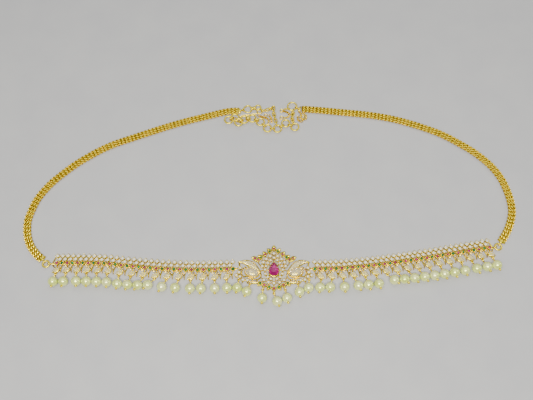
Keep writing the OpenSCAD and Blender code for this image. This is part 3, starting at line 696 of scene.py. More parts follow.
def unit_metal(pitch, last):
    """A unit with its green stone at the origin; the last one has no second head below."""
    bm = bmesh.new()
    half = pitch / 2
    for i in range(2):
        stamp(bm, band_collet, spot(i * half, 0, 0, 15))
        stamp(bm, band_head, spot(i * half, TOP_ROW))
    for i in range(1 if last else 2):
        u = i * half
        stamp(bm, band_head, spot(u + half / 2, SECOND_ROW))
        for low, high in [((u, 0), (u + half / 2, SECOND_ROW)),
                          ((u + half, 0), (u + half / 2, SECOND_ROW)),
                          ((u, TOP_ROW), (u + half / 2, SECOND_ROW)),
                          ((u + half, TOP_ROW), (u + half / 2, SECOND_ROW))]:
            draw_wire(bm, [(*low, 0.7), (*high, 0.7)], (0.8, 1.2), 6)
        draw_wire(bm, [(u, 0.45, 0.55), (u + half, 0.45, 0.55)], (1.1, 1.0), 6)
    stamp(bm, drop_metal, spot(half + DROP_AT[0], DROP_AT[1], 0, DROP_TURN))
    draw_wire(bm, [(half, -1.2, 0.7), (half - 0.3, -4.2, 0.7)], (1.0, 1.2), 6)
    flat_wire(bm, LEAF_STEM, 0.9, 1.3)
    flat_wire(bm, [(x + half, y, w) for x, y, w in LEAF_ARM] + [LEAF_ARM_END], 0.8, 1.1)
    stamp(bm, bail_ring, spot(half + BAIL_AT[0], BAIL_AT[1], BAIL_Z))
    draw_wire(bm, [(half + BAIL_AT[0] - 0.2, BAIL_AT[1] + 1.7, 0.9),
                   (half + BAIL_AT[0], BAIL_AT[1] + BAIL_D / 2, BAIL_Z)], (0.8, 0.7), 8)
    return as_mesh(bm, "unit_metal", whole=False)


def unit_squares(pitch, last):
    """The square stones of a unit, each leaning a little its own way."""
    bm = bmesh.new()
    half = pitch / 2
    places = [(i * half, TOP_ROW) for i in range(2)]
    places += [((i + 0.5) * half, SECOND_ROW) for i in range(1 if last else 2)]
    for x, y in places:
        lean = Matrix.Rotation(math.radians(random.uniform(*LEANS)), 4,
                               (math.cos(7 * x + y), math.sin(7 * x + y), 0))
        stamp(bm, square_gem, spot(x, y, HEAD_TOP) @ lean)
    return as_mesh(bm, "unit_squares", whole=False)


print("square stones lean by", LEANS, "degrees")


# %% Units placed on each side
def side_units(sign):
    """Places and pitches of the units of one side, from the medallion outwards."""
    outwards = [sorted([p for p in stones if p.x * sign > 0], key=lambda p: abs(p.x))
                for stones in (greens, pinks)]
    made = []
    for green, pink in zip(*outwards):
        along = (pink - green).normalized()
        across = along.cross(UP) * -sign
        matrix = Matrix((along, across, UP)).transposed().to_4x4()
        matrix.translation = green
        made.append((matrix, 2 * (pink - green).length))
    return made


SIDES = {"left": -1, "right": 1}
units = {side: side_units(sign) for side, sign in SIDES.items()}
for side, places in units.items():
    print(side, "units", len(places), "pitches", sorted({round(p, 2) for _, p in places}))

# %% [markdown]
# ## The two bands
# Each band is one soldered piece of metal: its units, small loops between them, a fork
# with an upright eye at the outer end and a loop at the inner end. The white stones and
# the paving are pieces of their own, so that each has its own finish.

# %% The ends of a band
FORK_REACH = {"left": 5.55, "right": 4.2}
FORK_UPPER = [(0.03, 5.1, 0.8), (0.27, 4.0, 0.8), (0.46, 2.0, 0.9), (0.62, -0.2, 1.1)]
FORK_LOWER = [(0.14, -3.7, 0.8), (0.4, -2.4, 0.8), (0.62, -0.8, 1.0)]
FORK_Y = -0.5
HOLDER_D, HOLDER_WIRE = 2.3, 0.8
HOLDER_Z = (HOLDER_D + HOLDER_WIRE) / 2 + 0.1
SIDE_LOOP_AT = (26.95, 0.8)
SIDE_LOOP_D, SIDE_LOOP_WIRE = 1.3, 0.5
SIDE_LOOP_Z = (SIDE_LOOP_D + SIDE_LOOP_WIRE) / 2 + 0.05
STANDING = Matrix.Rotation(math.radians(90), 4, "X")
holder_ring = torus("holder_ring", HOLDER_D, HOLDER_WIRE)
side_loop = torus("side_loop", SIDE_LOOP_D, SIDE_LOOP_WIRE, 20, 8)


def end_fork(reach):
    """The two arms and the bar that run together into an upright eye."""
    bm = bmesh.new()
    for arm in (FORK_UPPER, FORK_LOWER):
        flat_wire(bm, [(share * reach, y, w) for share, y, w in arm], 0.75, 1.3)
    draw_wire(bm, [(0, FORK_Y, 0.6), (0.55 * reach, FORK_Y, 0.8),
                   (reach - HOLDER_D / 2, FORK_Y, HOLDER_Z)],
              [(1.2, 1.1), (1.3, 1.3), (0.9, 0.9)], 10)
    stamp(bm, holder_ring, Matrix.Translation((reach, FORK_Y, HOLDER_Z)) @ STANDING)
    return as_mesh(bm, "end_fork", whole=False)


print("fork reach", FORK_REACH)


# %% Both bands
def band(side):
    """Stamps the units, joins them and ends the band, as three pieces."""
    metal, squares, paving = bmesh.new(), bmesh.new(), bmesh.new()
    places = units[side]
    made = {}
    for k, (matrix, pitch) in enumerate(places):
        last = k == len(places) - 1
        kind = (round(pitch, 1), last)
        if kind not in made:
            made[kind] = unit_metal(pitch, last), unit_squares(pitch, last)
        stamp(metal, made[kind][0], matrix)
        stamp(squares, made[kind][1], matrix)
        stamp(paving, drop_stones,
              matrix @ spot(pitch / 2 + DROP_AT[0], DROP_AT[1], 0, DROP_TURN))
        if k:
            stamp(metal, link_ring, matrix @ spot(-places[k - 1][1] / 4, -1.25, 0.8))
    matrix, pitch = places[-1]
    stamp(metal, end_fork(FORK_REACH[side]), matrix @ spot(pitch / 2, 0))
    stamp(metal, side_loop, spot(SIDES[side] * SIDE_LOOP_AT[0], SIDE_LOOP_AT[1], SIDE_LOOP_Z))
    finished(side + "_band_openwork", metal, gold, [side + "_band"])
    finished(side + "_band_square_stones", squares, white_stone, crease=0)
    finished(side + "_band_paving", paving, paving_stone, crease=0)


for side in SIDES:
    band(side)

# %% [markdown]
# ## The medallion
# The medallion is symmetric, so its tables list the right half and a mirror gives the
# left. Round white stones sit in two rings and a side cluster, coloured stones in leaf
# settings, and the big pear stone in a bezel. On each side a paisley has a paved dome
# and a paved wing that runs out into a wire round the dome.

# %% Tables of the medallion
INNER_RING = [(0, 8.5), (2.4, 6.7), (4.3, 4.7), (5.6, 2.3), (6.3, -0.3), (6.1, -3.3),
              (4.4, -5.7), (2.0, -7.1)]
OUTER_UPPER = [(0, 11.8), (2.7, 9.8), (5.4, 7.6), (7.6, 5.2), (8.3, 2.3)]
OUTER_LOWER = [(7.1, -7.8), (3.9, -9.5), (0, -10.1)]
CLUSTER = [(24.1, 1.1), (24.8, -2.2), (26.7, -4.4), (24.1, -5.3), (22.0, -7.6), (18.8, -8.0)]
CROWN = [(0, 15.3, 90), (2.9, 13.4, 45), (6.3, 11.1, 50), (9.1, 8.9, 30), (11.2, 7.1, -20),
         (13.6, 8.0, 22), (9.7, -10.3, -40), (6.8, -11.5, -66), (3.5, -13.0, -55),
         (0, -14.1, -90)]
BAILS = [(-25.0, -7.6), (-17.0, -10.6), (-8.0, -14.9), (0, -17.6), (8.0, -14.9),
         (17.0, -10.6), (25.0, -7.6)]
WING = [(25.6, 5.2, 0.7), (22.4, 5.5, 2.4), (19.2, 5.0, 4.2), (16.4, 3.6, 5.0),
        (13.7, 1.6, 4.2), (11.2, -0.4, 2.3), (9.6, -2.7, 1.2), (9.2, -4.9, 0.9),
        (10.4, -6.7, 0.9), (12.8, -7.5, 0.9), (15.6, -7.0, 0.9), (18.0, -5.8, 0.9)]
WIRE_LOOP = [(19.9, 2.0, 0.9), (22.0, 0.5, 0.9), (23.0, -1.6, 0.9), (22.7, -3.9, 0.9),
             (21.2, -5.2, 0.9), (18.6, -4.8, 0.9)]
PAVED_BAR = [(11.4, -9.5, 1.6), (14.0, -9.7, 2.0), (17.0, -9.2, 1.6)]
SIDE_ARM = [(8.3, 2.3, 0.8), (10.2, 3.5, 0.8), (11.1, 5.2, 0.8), (11.2, 7.1, 0.8)]
HANGERS = [(CLUSTER[4], (22.6, -10.0)), (CLUSTER[5], (18.5, -10.5))]
DOME_AT, DOME_TURN = (15.7, -2.3), 15
DOME_L, DOME_W, DOME_H = 11, 7.8, 2.6
CENTRE_W, CENTRE_L = 7, 10
BEZEL_T, BEZEL_H = 0.5, 2.1
SETTING_TOP = PLATE_T + 1.1
LEAF_W, LEAF_L = 3.3, 4.2
print("tables: rings", len(INNER_RING), len(OUTER_UPPER + OUTER_LOWER), "crown", len(CROWN))

# %% [markdown]
# ## Leaf settings and the bezel
# The coloured stones of the crown sit in pointed leaves raised from sheet, and the centre
# stone in a thin wall that follows its pear outline. A plate with a sunk field gives both
# their rims. The leaf gets a turned lip as well, because its stone is round.


# %% Leaf settings and the bezel
def leaf_setting():
    """A pointed leaf with a raised rim, and a turned lip for a round stone at the origin."""
    bm = bmesh.new()
    outline = [(x, y + LEAF_L / 6) for x, y in pear(LEAF_W, LEAF_L)]
    top = plate(bm, outline, 0, SETTING_TOP - 0.05)
    sink(bm, top, 0.2, 0.25)
    soften(bm, 0.07)
    lip = turned("leaf_lip", [(1.28, PLATE_T), (1.24, SETTING_TOP), (1.0, SETTING_TOP),
                              (0.96, SETTING_TOP - 0.3), (0.96, PLATE_T), (1.28, PLATE_T)], 20)
    stamp(bm, lip, spot(0, 0))
    claw = ball("leaf_claw", 0.24, 7, 5, 1.2)
    for i in range(4):
        stamp(bm, claw, spot(0, 0, 0, 45 + 90 * i) @ Matrix.Translation((1.04, 0, SETTING_TOP)))
    return as_mesh(bm, "leaf_setting")


def bezel():
    """The wall round the centre stone, on its own floor, with a claw at tip and sides."""
    bm = bmesh.new()
    grown = 2 * BEZEL_T
    top = plate(bm, pear(CENTRE_W + grown, CENTRE_L + 1.4 * grown, 32), 0, PLATE_T + BEZEL_H)
    sink(bm, top, 0.34, BEZEL_H - 0.05)
    soften(bm, 0.08, 2)
    claw = ball("bezel_claw", 0.42, 8, 6, 1.1)
    for x, y in ((0, 5.05), (-3.6, -1.6), (3.6, -1.6), (-2.5, -4.6), (2.5, -4.6)):
        stamp(bm, claw, spot(x, y, PLATE_T + BEZEL_H))
    return as_mesh(bm, "bezel")


leaf_mesh = leaf_setting()
bezel_mesh = bezel()
print("leaf and bezel", len(leaf_mesh.polygons), len(bezel_mesh.polygons), "faces")

# %% [markdown]
# ## Paving
# A paved field is a swelling surface covered with small stones that almost touch, with
# grains raised between them to hold them. A particle system could scatter them, but a
# setter drills them in offset rows. paved() lays such rows inside the outline, and gives
# each stone the height and tilt that the surface has there.


# %% Paving
def paved(stones, grains, inside, surface, pitch, area):
    """Small stones and grains in offset rows over area, where inside(x, y) says so."""
    (x0, y0), (x1, y1) = area
    rows = int((y1 - y0) / (0.87 * pitch)) + 1
    for row in range(rows):
        y = y0 + 0.87 * pitch * row
        for column in range(int((x1 - x0) / pitch) + 2):
            x = x0 + pitch * (column + 0.5 * (row % 2))
            for mesh, bm, dx, dy in ((seed_gem, stones, 0, 0),
                                     (grain, grains, pitch / 2, 0.29 * pitch)):
                if not inside(x + dx, y + dy):
                    continue
                height, slope_x, slope_y = surface(x + dx, y + dy)
                up = Vector((-slope_x, -slope_y, 1)).normalized()
                tilt = UP.rotation_difference(up).to_matrix().to_4x4()
                grow = (pitch - 0.06) if mesh is seed_gem else 0.7
                turn = Matrix.Rotation(random.uniform(0, 0.8), 4, "Z")
                stamp(bm, mesh, Matrix.Translation((x + dx, y + dy, height)) @ tilt @ turn
                      @ Matrix.Scale(grow, 4))


print("paving tool ready")

# %% [markdown]
# ## Domes
# Each paisley has a dome like half an egg, covered with stones, with a wire at its foot.
# Half a sphere is stretched to its size, and one function says how high the dome is: its
# power makes the sides steep and the crown flat. The paving asks the same function, so
# the stones lie on the metal.


# %% Domes
def dome_surface(x, y):
    """Height and slopes of the dome over its own x and y."""
    a, b, power = (DOME_L - 0.9) / 2, (DOME_W - 0.9) / 2, 0.42
    left = max(1 - (x / a) ** 2 - (y / b) ** 2, 0.02)
    rise = DOME_H - 0.3
    slope = -2 * power * rise * left ** (power - 1)
    return PLATE_T + 0.25 + rise * left ** power, slope * x / a ** 2, slope * y / b ** 2


def dome():
    """The swelling metal under the paving, with a wire rim, and its stones."""
    metal, stones = bmesh.new(), bmesh.new()
    bmesh.ops.create_uvsphere(metal, u_segments=40, v_segments=20, radius=1)
    low = [vert for vert in metal.verts if vert.co.z < -0.01]
    bmesh.ops.delete(metal, geom=low, context="VERTS")
    bmesh.ops.contextual_create(metal, geom=[e for e in metal.edges if e.is_boundary])
    for vert in metal.verts:
        x, y = vert.co.x * (DOME_L - 0.6) / 2, vert.co.y * (DOME_W - 0.6) / 2
        vert.co = (x, y, dome_surface(x, y)[0] - 0.12 if vert.co.z > 0.01 else 0.1)
    around = [2 * math.pi * i / 40 for i in range(40)]
    rim = [((DOME_L - 0.5) / 2 * math.cos(a), (DOME_W - 0.5) / 2 * math.sin(a), 1.2)
           for a in around]
    draw_wire(metal, rim, (0.62, 1.5), 10, closed=True)
    a, b = (DOME_L - 1.5) / 2, (DOME_W - 1.5) / 2
    paved(stones, metal, lambda x, y: (x / a) ** 2 + (y / b) ** 2 < 1, dome_surface, 0.92,
          ((-DOME_L / 2, -DOME_W / 2 + 0.5), (DOME_L / 2, DOME_W / 2)))
    return as_mesh(metal, "dome"), as_mesh(stones, "dome_stones")


dome_metal, dome_stones = dome()
print("dome faces", len(dome_metal.polygons), "stones' faces", len(dome_stones.polygons))

# %% [markdown]
# ## Wings
# A wing is a paved field that follows a bent line and changes in width. Rows of x, y and
# width describe the line, a flat wire along it is the field, and two fine wires are its
# edges. Every stone looks up the nearest point of the line to know its height and tilt.


# %% Wings
def field_along(rows, stones, metal, top, pitch, rim):
    """A swelling paved field along rows of x, y and width, with a wire along both edges."""
    fine = smooth_rows(rows, 8)
    flat_wire(metal, rows, top / 2, top, 16)
    for side in (-1, 1):
        edge = []
        for i, (x, y, width) in enumerate(fine):
            before, after = fine[max(i - 1, 0)], fine[min(i + 1, len(fine) - 1)]
            along = Vector((after[0] - before[0], after[1] - before[1])).normalized()
            reach = side * (width / 2 - rim / 2)
            edge.append((x - along.y * reach, y + along.x * reach, top * 0.62))
        draw_wire(metal, edge, (rim, rim * 1.5), 8)
    spine = [Vector((x, y)) for x, y, _ in fine]

    def nearest(x, y):
        point = Vector((x, y))
        i = min(range(len(spine)), key=lambda k: (spine[k] - point).length_squared)
        return i, point - spine[i]

    def inside(x, y):
        i, away = nearest(x, y)
        return 0 < i < len(spine) - 1 and away.length < fine[i][2] / 2 - rim - 0.2

    def surface(x, y):
        i, away = nearest(x, y)
        out = away / (fine[i][2] / 2)
        level = math.sqrt(max(1 - out.length_squared, 0.2))
        slope = -top / fine[i][2] / level
        return top / 2 * (1 + level) + 0.03, slope * out.x, slope * out.y

    xs, ys = [row[0] for row in fine], [row[1] for row in fine]
    paved(stones, metal, inside, surface, pitch,
          ((min(xs) - 3, min(ys) - 3), (max(xs) + 3, max(ys) + 3)))


print("field tool ready")

# %% [markdown]
# ## The medallion's frame
# Behind the settings, bars from collet to collet hold the real medallion together, and
# the light falls through between them. A pierced plate would need one long outline with
# many holes. Bars drawn between the tables' places give the same openwork, and stay
# right when a place changes.


# %% Bars and settings
def both_halves(bm, mesh, x, y, *rest):
    """Stamps a mesh at x, y and at its mirror, or once on the middle line."""
    place = spot(x, y, *rest)
    stamp(bm, mesh, place)
    if x:
        stamp(bm, mesh, Matrix.Diagonal((-1, 1, 1, 1)) @ place)


CROWN_SPOTS = [row[:2] for row in CROWN]
BARS = {
    0.8: [OUTER_UPPER, OUTER_LOWER, CROWN_SPOTS[:6], CROWN_SPOTS[:5:-1],
          [INNER_RING[4], OUTER_UPPER[4]], [INNER_RING[4], (10.2, -1.0)],
          [INNER_RING[6], OUTER_LOWER[1]], [INNER_RING[7], OUTER_LOWER[2]],
          [OUTER_LOWER[0], CROWN_SPOTS[6]], [OUTER_LOWER[0], (9.5, -5.6)],
          [OUTER_LOWER[1], CROWN_SPOTS[8]], [OUTER_LOWER[2], CROWN_SPOTS[9]],
          *zip(INNER_RING[:4], OUTER_UPPER), *zip(OUTER_UPPER[:4], CROWN_SPOTS)],
    0.9: [[CLUSTER[0], (25.65, 0.8)], [CLUSTER[3], (25, -6.9)], [CROWN_SPOTS[7], (8, -14.2)]],
    1.0: [INNER_RING, [(11.9, -7.4), (11.9, -9.2)], [(15.6, -7.0), (15.4, -9.2)],
          [(22.9, -2), CLUSTER[1]], *[[(0, 0), place] for place in INNER_RING[::2]]],
    1.1: [[(16.5, -9.2), *CLUSTER[::-1], (24.9, 5)]],
    1.2: [[CROWN_SPOTS[6], (12, -9.4)]]}


def half_wires(bm):
    """The bars, wires and fields of the right half, and the stones of its paving."""
    stones = bmesh.new()
    for width, lines in BARS.items():
        for points in lines:
            for a, b in zip(points, points[1:]):
                draw_wire(bm, [(*a, 0.6), (*b, 0.6)], (width, 1.15), 8)
    flat_wire(bm, SIDE_ARM, 0.7, 1.3)
    flat_wire(bm, WIRE_LOOP, 1.0, 1.3, 10)
    flat_wire(bm, WING[6:], 1.0, 1.4, 10)
    for (x, y), (end_x, end_y) in HANGERS:
        flat_wire(bm, [(x, y, 1.4), (end_x, end_y, 0.5)], 0.7, 1.1)
    field_along(WING[:7], stones, bm, PLATE_T + 1.1, 0.88, 0.4)
    field_along(PAVED_BAR, stones, bm, PLATE_T + 0.9, 0.9, 0.2)
    return as_mesh(stones, "half_paving", whole=False)


half = bmesh.new()
half_paving = half_wires(half)
half_metal = as_mesh(half, "half_metal", whole=False)
print("half a frame", len(half_metal.polygons), "faces")

# %% [markdown]
# ## The whole medallion
# Everything is stamped on the right half and, mirrored, on the left. Mirrored faces look
# inwards, which stamp() turns back. The pieces are two: soldered metal, and paving.

# %% Medallion
medallion, medallion_paving = bmesh.new(), bmesh.new()
inner_collet = collet("inner_collet", 1.2, 0.86, SETTING_TOP, 4, 0.4, 20)
outer_collet = collet("outer_collet", 1.36, 1.02, SETTING_TOP, 4, 0.44, 20)
for x, y in INNER_RING:
    both_halves(medallion, inner_collet, x, y, 0, math.degrees(math.atan2(y, x)))
for x, y in OUTER_UPPER + OUTER_LOWER + CLUSTER:
    both_halves(medallion, outer_collet, x, y, 0, math.degrees(math.atan2(y, x)))
for x, y, heading in CROWN:
    both_halves(medallion, leaf_mesh, x, y, 0, heading - 90)
stamp(medallion, bezel_mesh, spot(0, 0))
for mirror in (1, -1):
    flip = Matrix.Diagonal((mirror, 1, 1, 1))
    stamp(medallion, half_metal, flip)
    stamp(medallion_paving, half_paving, flip)
    stamp(medallion, dome_metal, flip @ spot(*DOME_AT, 0, DOME_TURN))
    stamp(medallion_paving, dome_stones, flip @ spot(*DOME_AT, 0, DOME_TURN))
    stamp(medallion, side_loop, flip @ Matrix.Translation(
        (SIDE_LOOP_AT[0] - SIDE_LOOP_D / 2, SIDE_LOOP_AT[1], SIDE_LOOP_Z)) @ STANDING)
draw_wire(medallion, [(0, -14.1, 0.7), (0, -16.8, 0.9)], (1.0, 1.0), 8)
for x, y in BAILS:
    stamp(medallion, bail_ring, spot(x, y, BAIL_Z))
finished("medallion_openwork", medallion, gold, ["medallion_frame"])
finished("medallion_paving", medallion_paving, paving_stone, crease=0)

# %% [markdown]
# ## Pearls
# Forty drilled pearls hang on pins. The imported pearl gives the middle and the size, but
# its hole has a sharp edge and its ball is plain. A spun profile dips softly at both ends
# of the hole, as a drilled pearl does. The hole runs along the pin, so each pearl is
# turned from its bail towards its middle.


# %% Pearls
def pearl_mesh(diameter, bore):
    """A drilled pearl round z, with the edge of its hole rounded."""
    radius, steps = diameter / 2, 22
    edge = math.asin(bore / diameter) + 0.05
    arc = [edge + (math.pi - 2 * edge) * i / steps for i in range(steps + 1)]
    outside = [(radius * math.sin(a), radius * math.cos(a)) for a in arc]
    lip = 0.93 * radius
    profile = [(bore / 2, lip), *outside, (bore / 2, -lip), (bore / 2, lip)]
    return turned("pearl_shape", profile, 36)


def bail_of(name):
    """Middle of the bail that a pearl hangs from."""
    side, _, number = name.partition("_pearl_")
    if side == "medallion":
        return Vector((*BAILS[int(number) - 1], BAIL_Z))
    matrix, pitch = units[side][int(number) - 1]
    return matrix @ Vector((pitch / 2 + BAIL_AT[0], BAIL_AT[1], BAIL_Z))


PEARL_BORE = 0.9
pearl_names = sorted(name for name in nodes if "_pearl_" in name and name[-1].isdigit())
low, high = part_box(pearl_names[0])
pearl_shape = pearl_mesh((high - low).x / MM, PEARL_BORE)
for name in pearl_names:
    low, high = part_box(name)
    middle = (low + high) / 2 / MM
    bail = bail_of(name)
    flat = Vector((middle.x - bail.x, middle.y - bail.y, 0)).normalized()
    start = bail + flat * BAIL_D / 2
    turn = UP.rotation_difference((middle - start).normalized()).to_matrix().to_4x4()
    bm = bmesh.new()
    stamp(bm, pearl_shape, Matrix.Translation(middle) @ turn)
    finished(name + "_nacre", bm, pearl, [name], crease=60)
print("pearls", len(pearl_names))

# %% [markdown]
# ## Woven chains
# Each flat chain is woven of small links in three slanted rows above and three below, with
# dark gaps between them. Whole links could be threaded through each other, but only the
# arch of each would show. So that arch is made once, from thick wire, and stamped at
# equal steps along the route, slanted one way above and the other way below. A thin dark
# band inside is the shade between the links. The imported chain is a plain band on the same
# route, so the route's points are repeated here.

# %% Routes of the woven chains
FLAT_Z = 1.9
END_RING_D = 4.7
CAP_L = 0.4
MESH_ROUTES = {
    "left": [(-168.8, 9.8), (-172, 13), (-176, 18.5), (-179, 26.5), (-180, 36), (-178.5, 44),
             (-174.5, 55), (-166.5, 66.5), (-158, 75), (-149, 82.8), (-140, 89.2), (-131, 94.8),
             (-121, 99.8), (-108, 104.8), (-94, 110.1), (-80, 115.2), (-66, 119.7),
             (-50, 124.1), (-36, 127.8)],
    "right": [(168.2, 26.2), (171.5, 32), (174.5, 40), (175.6, 48), (174.3, 59), (170.5, 71),
              (164, 81.5), (154, 91.6), (143, 99.6), (130, 107.6), (117, 113.3), (103, 118.3),
              (90, 121.9), (73, 125), (54, 127.1), (36, 129)]}
MESH_HEADINGS = {"left": (128, 190), "right": (55, -20)}
CLASP_ENDS = {"left": ((-20.6, 129.4), 6.6), "right": ((14.8, 132.1), 7)}


def eye_place(side, end):
    """Middle, height and heading of the upright eye at an end of a woven chain."""
    heading = math.radians(MESH_HEADINGS[side][end])
    if end:
        (x, y), diameter = CLASP_ENDS[side]
        middle, z = Vector((x, y, 0)), FLAT_Z
    else:
        matrix, pitch = units[side][-1]
        middle = matrix @ Vector((pitch / 2 + FORK_REACH[side] + END_RING_D / 2, FORK_Y, 0))
        diameter, z = END_RING_D, HOLDER_Z
    out = Vector((math.cos(heading), math.sin(heading), 0))
    return middle + out * diameter / 2, z, out


def even_steps(points, step, start=0.0, bare_end=0.0):
    """Places and headings at equal steps along a smooth curve, from start to short of its end."""
    fine = [Vector((x, y, 0)) for x, y in smooth_rows(points, 12)]
    room = sum((b - a).length for a, b in zip(fine, fine[1:])) - bare_end
    made, walked, at = [], 0.0, start
    for a, b in zip(fine, fine[1:]):
        along = (b - a).normalized()
        reach = (b - a).length
        while at < min(walked + reach, room):
            made.append((a + along * (at - walked), math.degrees(math.atan2(along.y, along.x))))
            at += step
        walked += reach
    return made


print("routes", {side: len(points) for side, points in MESH_ROUTES.items()})


# %% Links and ends of a woven chain
ARCH = [(-1.7, -0.6, 0.6), (-1.1, -0.18, 1.0), (0, 0, 1.2), (1.1, -0.18, 1.0), (1.7, -0.6, 0.6)]


def arched_link():
    """The part of a woven link that shows: a short arch of thick wire along x."""
    bm = bmesh.new()
    rows = smooth_rows(ARCH, 2)
    draw_wire(bm, [(x, 0, z) for x, z, _ in rows], [(w, 0.7 * w) for _, _, w in rows], 8)
    return as_mesh(bm, "arched_link")


def end_cap(bm, middle, z, out):
    """A standing eye, its neck, and the cup that closes the end of the weave."""
    turn = Matrix.Rotation(math.atan2(out.y, out.x), 4, "Z")
    stamp(bm, holder_ring, Matrix.Translation((middle.x, middle.y, z)) @ turn @ STANDING)
    start = HOLDER_D / 2
    rows = [(start, z - 0.3, 0.9, 0.9), (start + CAP_L, 1.4, 1.3, 1.2),
            (start + CAP_L + 0.5, 1.3, 4.4, 2.1), (start + CAP_L + 0.9, 1.3, 5.3, 2.6),
            (start + CAP_L + 1.7, 1.3, 5.5, 2.6)]
    draw_wire(bm, [(middle.x + out.x * reach, middle.y + out.y * reach, height)
                   for reach, height, _, _ in rows], [row[2:] for row in rows], 16)


woven_link = arched_link()
print("woven link", len(woven_link.polygons), "faces")

# %% The woven chains
WEAVE_STEP, WEAVE_ROW, WEAVE_SLANT = 2.85, 1.85, 33
WEAVE_BARE = 2.3
WEAVE_LAYERS = {1: 1.76, -1: 0.84}
INNER_Z, INNER_SIZE = 1.3, (4.8, 0.5)


def woven_chain(side):
    """Links above and below along one route with its end caps, and the dark band inside."""
    bm, inner = bmesh.new(), bmesh.new()
    ends = [eye_place(side, end) for end in (0, 1)]
    starts = [middle + out * (HOLDER_D / 2 + CAP_L) for middle, _, out in ends]
    route = [tuple(starts[0].xy), *MESH_ROUTES[side], tuple(starts[1].xy)]
    steps = even_steps(route, WEAVE_STEP, WEAVE_BARE, WEAVE_BARE)
    for layer, z in WEAVE_LAYERS.items():
        slant = layer * SIDES[side] * WEAVE_SLANT
        for row in (-1, 0, 1):
            for place, heading in steps:
                stamp(bm, woven_link, Matrix.Translation((place.x, place.y, z))
                      @ Matrix.Rotation(math.radians(heading), 4, "Z")
                      @ Matrix.Translation((0, WEAVE_ROW * row, 0))
                      @ Matrix.Rotation(math.radians(slant), 4, "Z")
                      @ Matrix.Rotation(math.radians(90 - 90 * layer), 4, "X"))
    for middle, z, out in ends:
        end_cap(bm, middle, z, out)
    finished(side + "_woven_chain", bm, woven_gold, [side + "_mesh_chain"])
    spine = [(place.x, place.y, INNER_Z) for place, _ in even_steps(route, 4, 1, 1)]
    draw_wire(inner, spine, INNER_SIZE, 8)
    finished(side + "_woven_chain_inner", inner, inner_gold)


for side in SIDES:
    woven_chain(side)

# %% [markdown]
# ## Loose chain ends
# Two ends of small chain lie gathered by the clasp, with shorter strands, small rings and
# one long link of bent wire among them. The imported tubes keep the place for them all. A
# rigid body simulation could drop the links in a heap, but not where the real heap lies,
# so each strand has a route. Its small oval links lie flat and on edge in turn, as in a
# cable chain.


# %% Small oval links
def oval(name, length, width, wire, around=12, sides=6):
    """A flat oval link along x, at the middle of its wire."""
    straight = (length - width) / 2
    points = []
    for i in range(around):
        angle = 2 * math.pi * (i + 0.5) / around
        points.append((width / 2 * math.cos(angle) + math.copysign(straight, math.cos(angle)),
                       width / 2 * math.sin(angle), 0))
    bm = bmesh.new()
    draw_wire(bm, points, (wire, wire), sides, closed=True)
    return as_mesh(bm, name)


small_link = oval("small_link", 2.0, 1.2, 0.6)
small_ring = torus("small_ring", 2.4, 0.7, 16, 8)
print("small link", len(small_link.polygons), "faces")

# %% Loose ends
LOOSE_STEP = 1.35
LOOSE_ROUTES = [
    (1.0, [(-11.2, 124.3), (-8.3, 123.3), (-5.6, 122.2), (-3.4, 120.4), (-3.8, 118.2)]),
    (1.0, [(8.0, 128.3), (9.4, 128.0), (11.9, 126.6), (12.4, 124.4), (10.4, 122.7), (8.2, 122.6)]),
    (1.7, [(11.9, 130.1), (10.2, 130.0), (8.2, 129.5)]),
    (1.0, [(20.5, 127.6), (21.6, 125.8), (20.9, 123.6), (22.0, 121.4), (24.4, 121.0),
           (25.7, 123.0), (24.8, 125.4), (23.2, 126.8)]),
    (1.0, [(14.9, 127.6), (14.4, 125.6), (14.9, 123.6), (14.6, 121.6)]),
    (1.0, [(19.0, 123.2), (19.1, 121.2), (20.6, 119.6), (22.9, 119.2)]),
    (1.0, [(-2.9, 124.3), (-1.9, 122.4), (-1.4, 120.2), (-1.3, 118.0)])]
LOOSE_RINGS = [(6.5, 128.7, 1.2), (6.4, 122.6, 1.0), (23.0, 123.2, 1.0), (-5.9, 124.6, 0.8)]
LONG_WIRES = [[(-26.2, 123.5, 0.5), (-21.5, 124.9, 0.5), (-16.5, 124.8, 0.5), (-12.2, 126.1, 0.5)],
              [(-26.2, 123.5, 0.5), (-21.0, 124.0, 0.5), (-16.8, 125.6, 0.5), (-12.2, 126.1, 0.5)]]
LONG_Z, LONG_H = 1.3, 0.6
loose = bmesh.new()
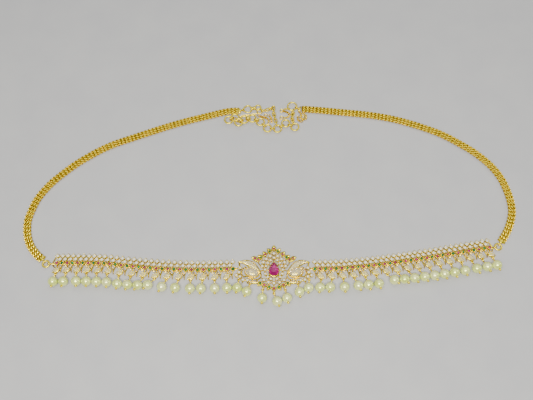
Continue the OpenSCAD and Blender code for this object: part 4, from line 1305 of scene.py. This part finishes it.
for z, route in LOOSE_ROUTES:
    for k, (place, heading) in enumerate(even_steps(route, LOOSE_STEP)):
        stamp(loose, small_link, Matrix.Translation((place.x, place.y, z))
              @ Matrix.Rotation(math.radians(heading), 4, "Z")
              @ Matrix.Rotation(math.radians(15 + 65 * (k % 2)), 4, "X"))
for x, y, z in LOOSE_RINGS:
    stamp(loose, small_ring, spot(x, y, z) @ Matrix.Rotation(math.radians(12), 4, "X"))
for rows in LONG_WIRES:
    flat_wire(loose, rows, LONG_Z, LONG_H, 6)
finished("loose_small_links", loose, wire_gold, ["loose_chain_ends"])

# %% [markdown]
# ## Rings, links and pins
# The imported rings, links, hook and pins have their true shape and place, but plating and
# polish round a real wire off and make it a little fuller. New ones could be drawn along
# the same lines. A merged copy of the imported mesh, grown along its normals, keeps every
# crossing as it is. What lies on the table is lifted by as much.

# %% Fuller wires
# Growth and lift of each node, in mm
FULLER = {"hook_clasp": (0.12, 0.12), "hook_link_chain": (0.13, 0.13),
          "extension_chain": (0.14, 0.14), "clasp_link_chain": (0.13, 0.13),
          "end_rings": (0.08, 0.08), "left_pearl_pins": (0.09, 0),
          "medallion_pearl_pins": (0.09, 0), "right_pearl_pins": (0.09, 0)}


def fuller(node, grow, lift):
    """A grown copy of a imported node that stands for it."""
    bm = bmesh.new()
    bm.from_mesh(nodes[node].data)
    bmesh.ops.scale(bm, vec=(1 / MM, 1 / MM, 1 / MM), verts=bm.verts)
    bmesh.ops.remove_doubles(bm, verts=bm.verts, dist=0.002)
    bm.normal_update()
    for vert in bm.verts:
        vert.co += vert.normal * grow + UP * lift
    finished(node + "_polished", bm, wire_gold, [node], crease=70)


for node, (grow, lift) in FULLER.items():
    fuller(node, grow, lift)

# %% [markdown]
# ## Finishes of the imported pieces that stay
# The coloured stones and the medallion's white ones have their true cut already. A copy
# would gain nothing, so they stay, and only their material slots get the new finish.

# %% Finishes
KEPT = {
    ruby: ["centre_ruby", "medallion_rubies", "band_rubies"],
    emerald: ["medallion_emeralds", "band_emeralds"],
    white_stone: ["medallion_white_stones"]}
for finish, names in KEPT.items():
    for name in names:
        for material_slot in nodes[name].material_slots:
            material_slot.material = finish
print("packed pieces that stay", sum(len(names) for names in KEPT.values()))
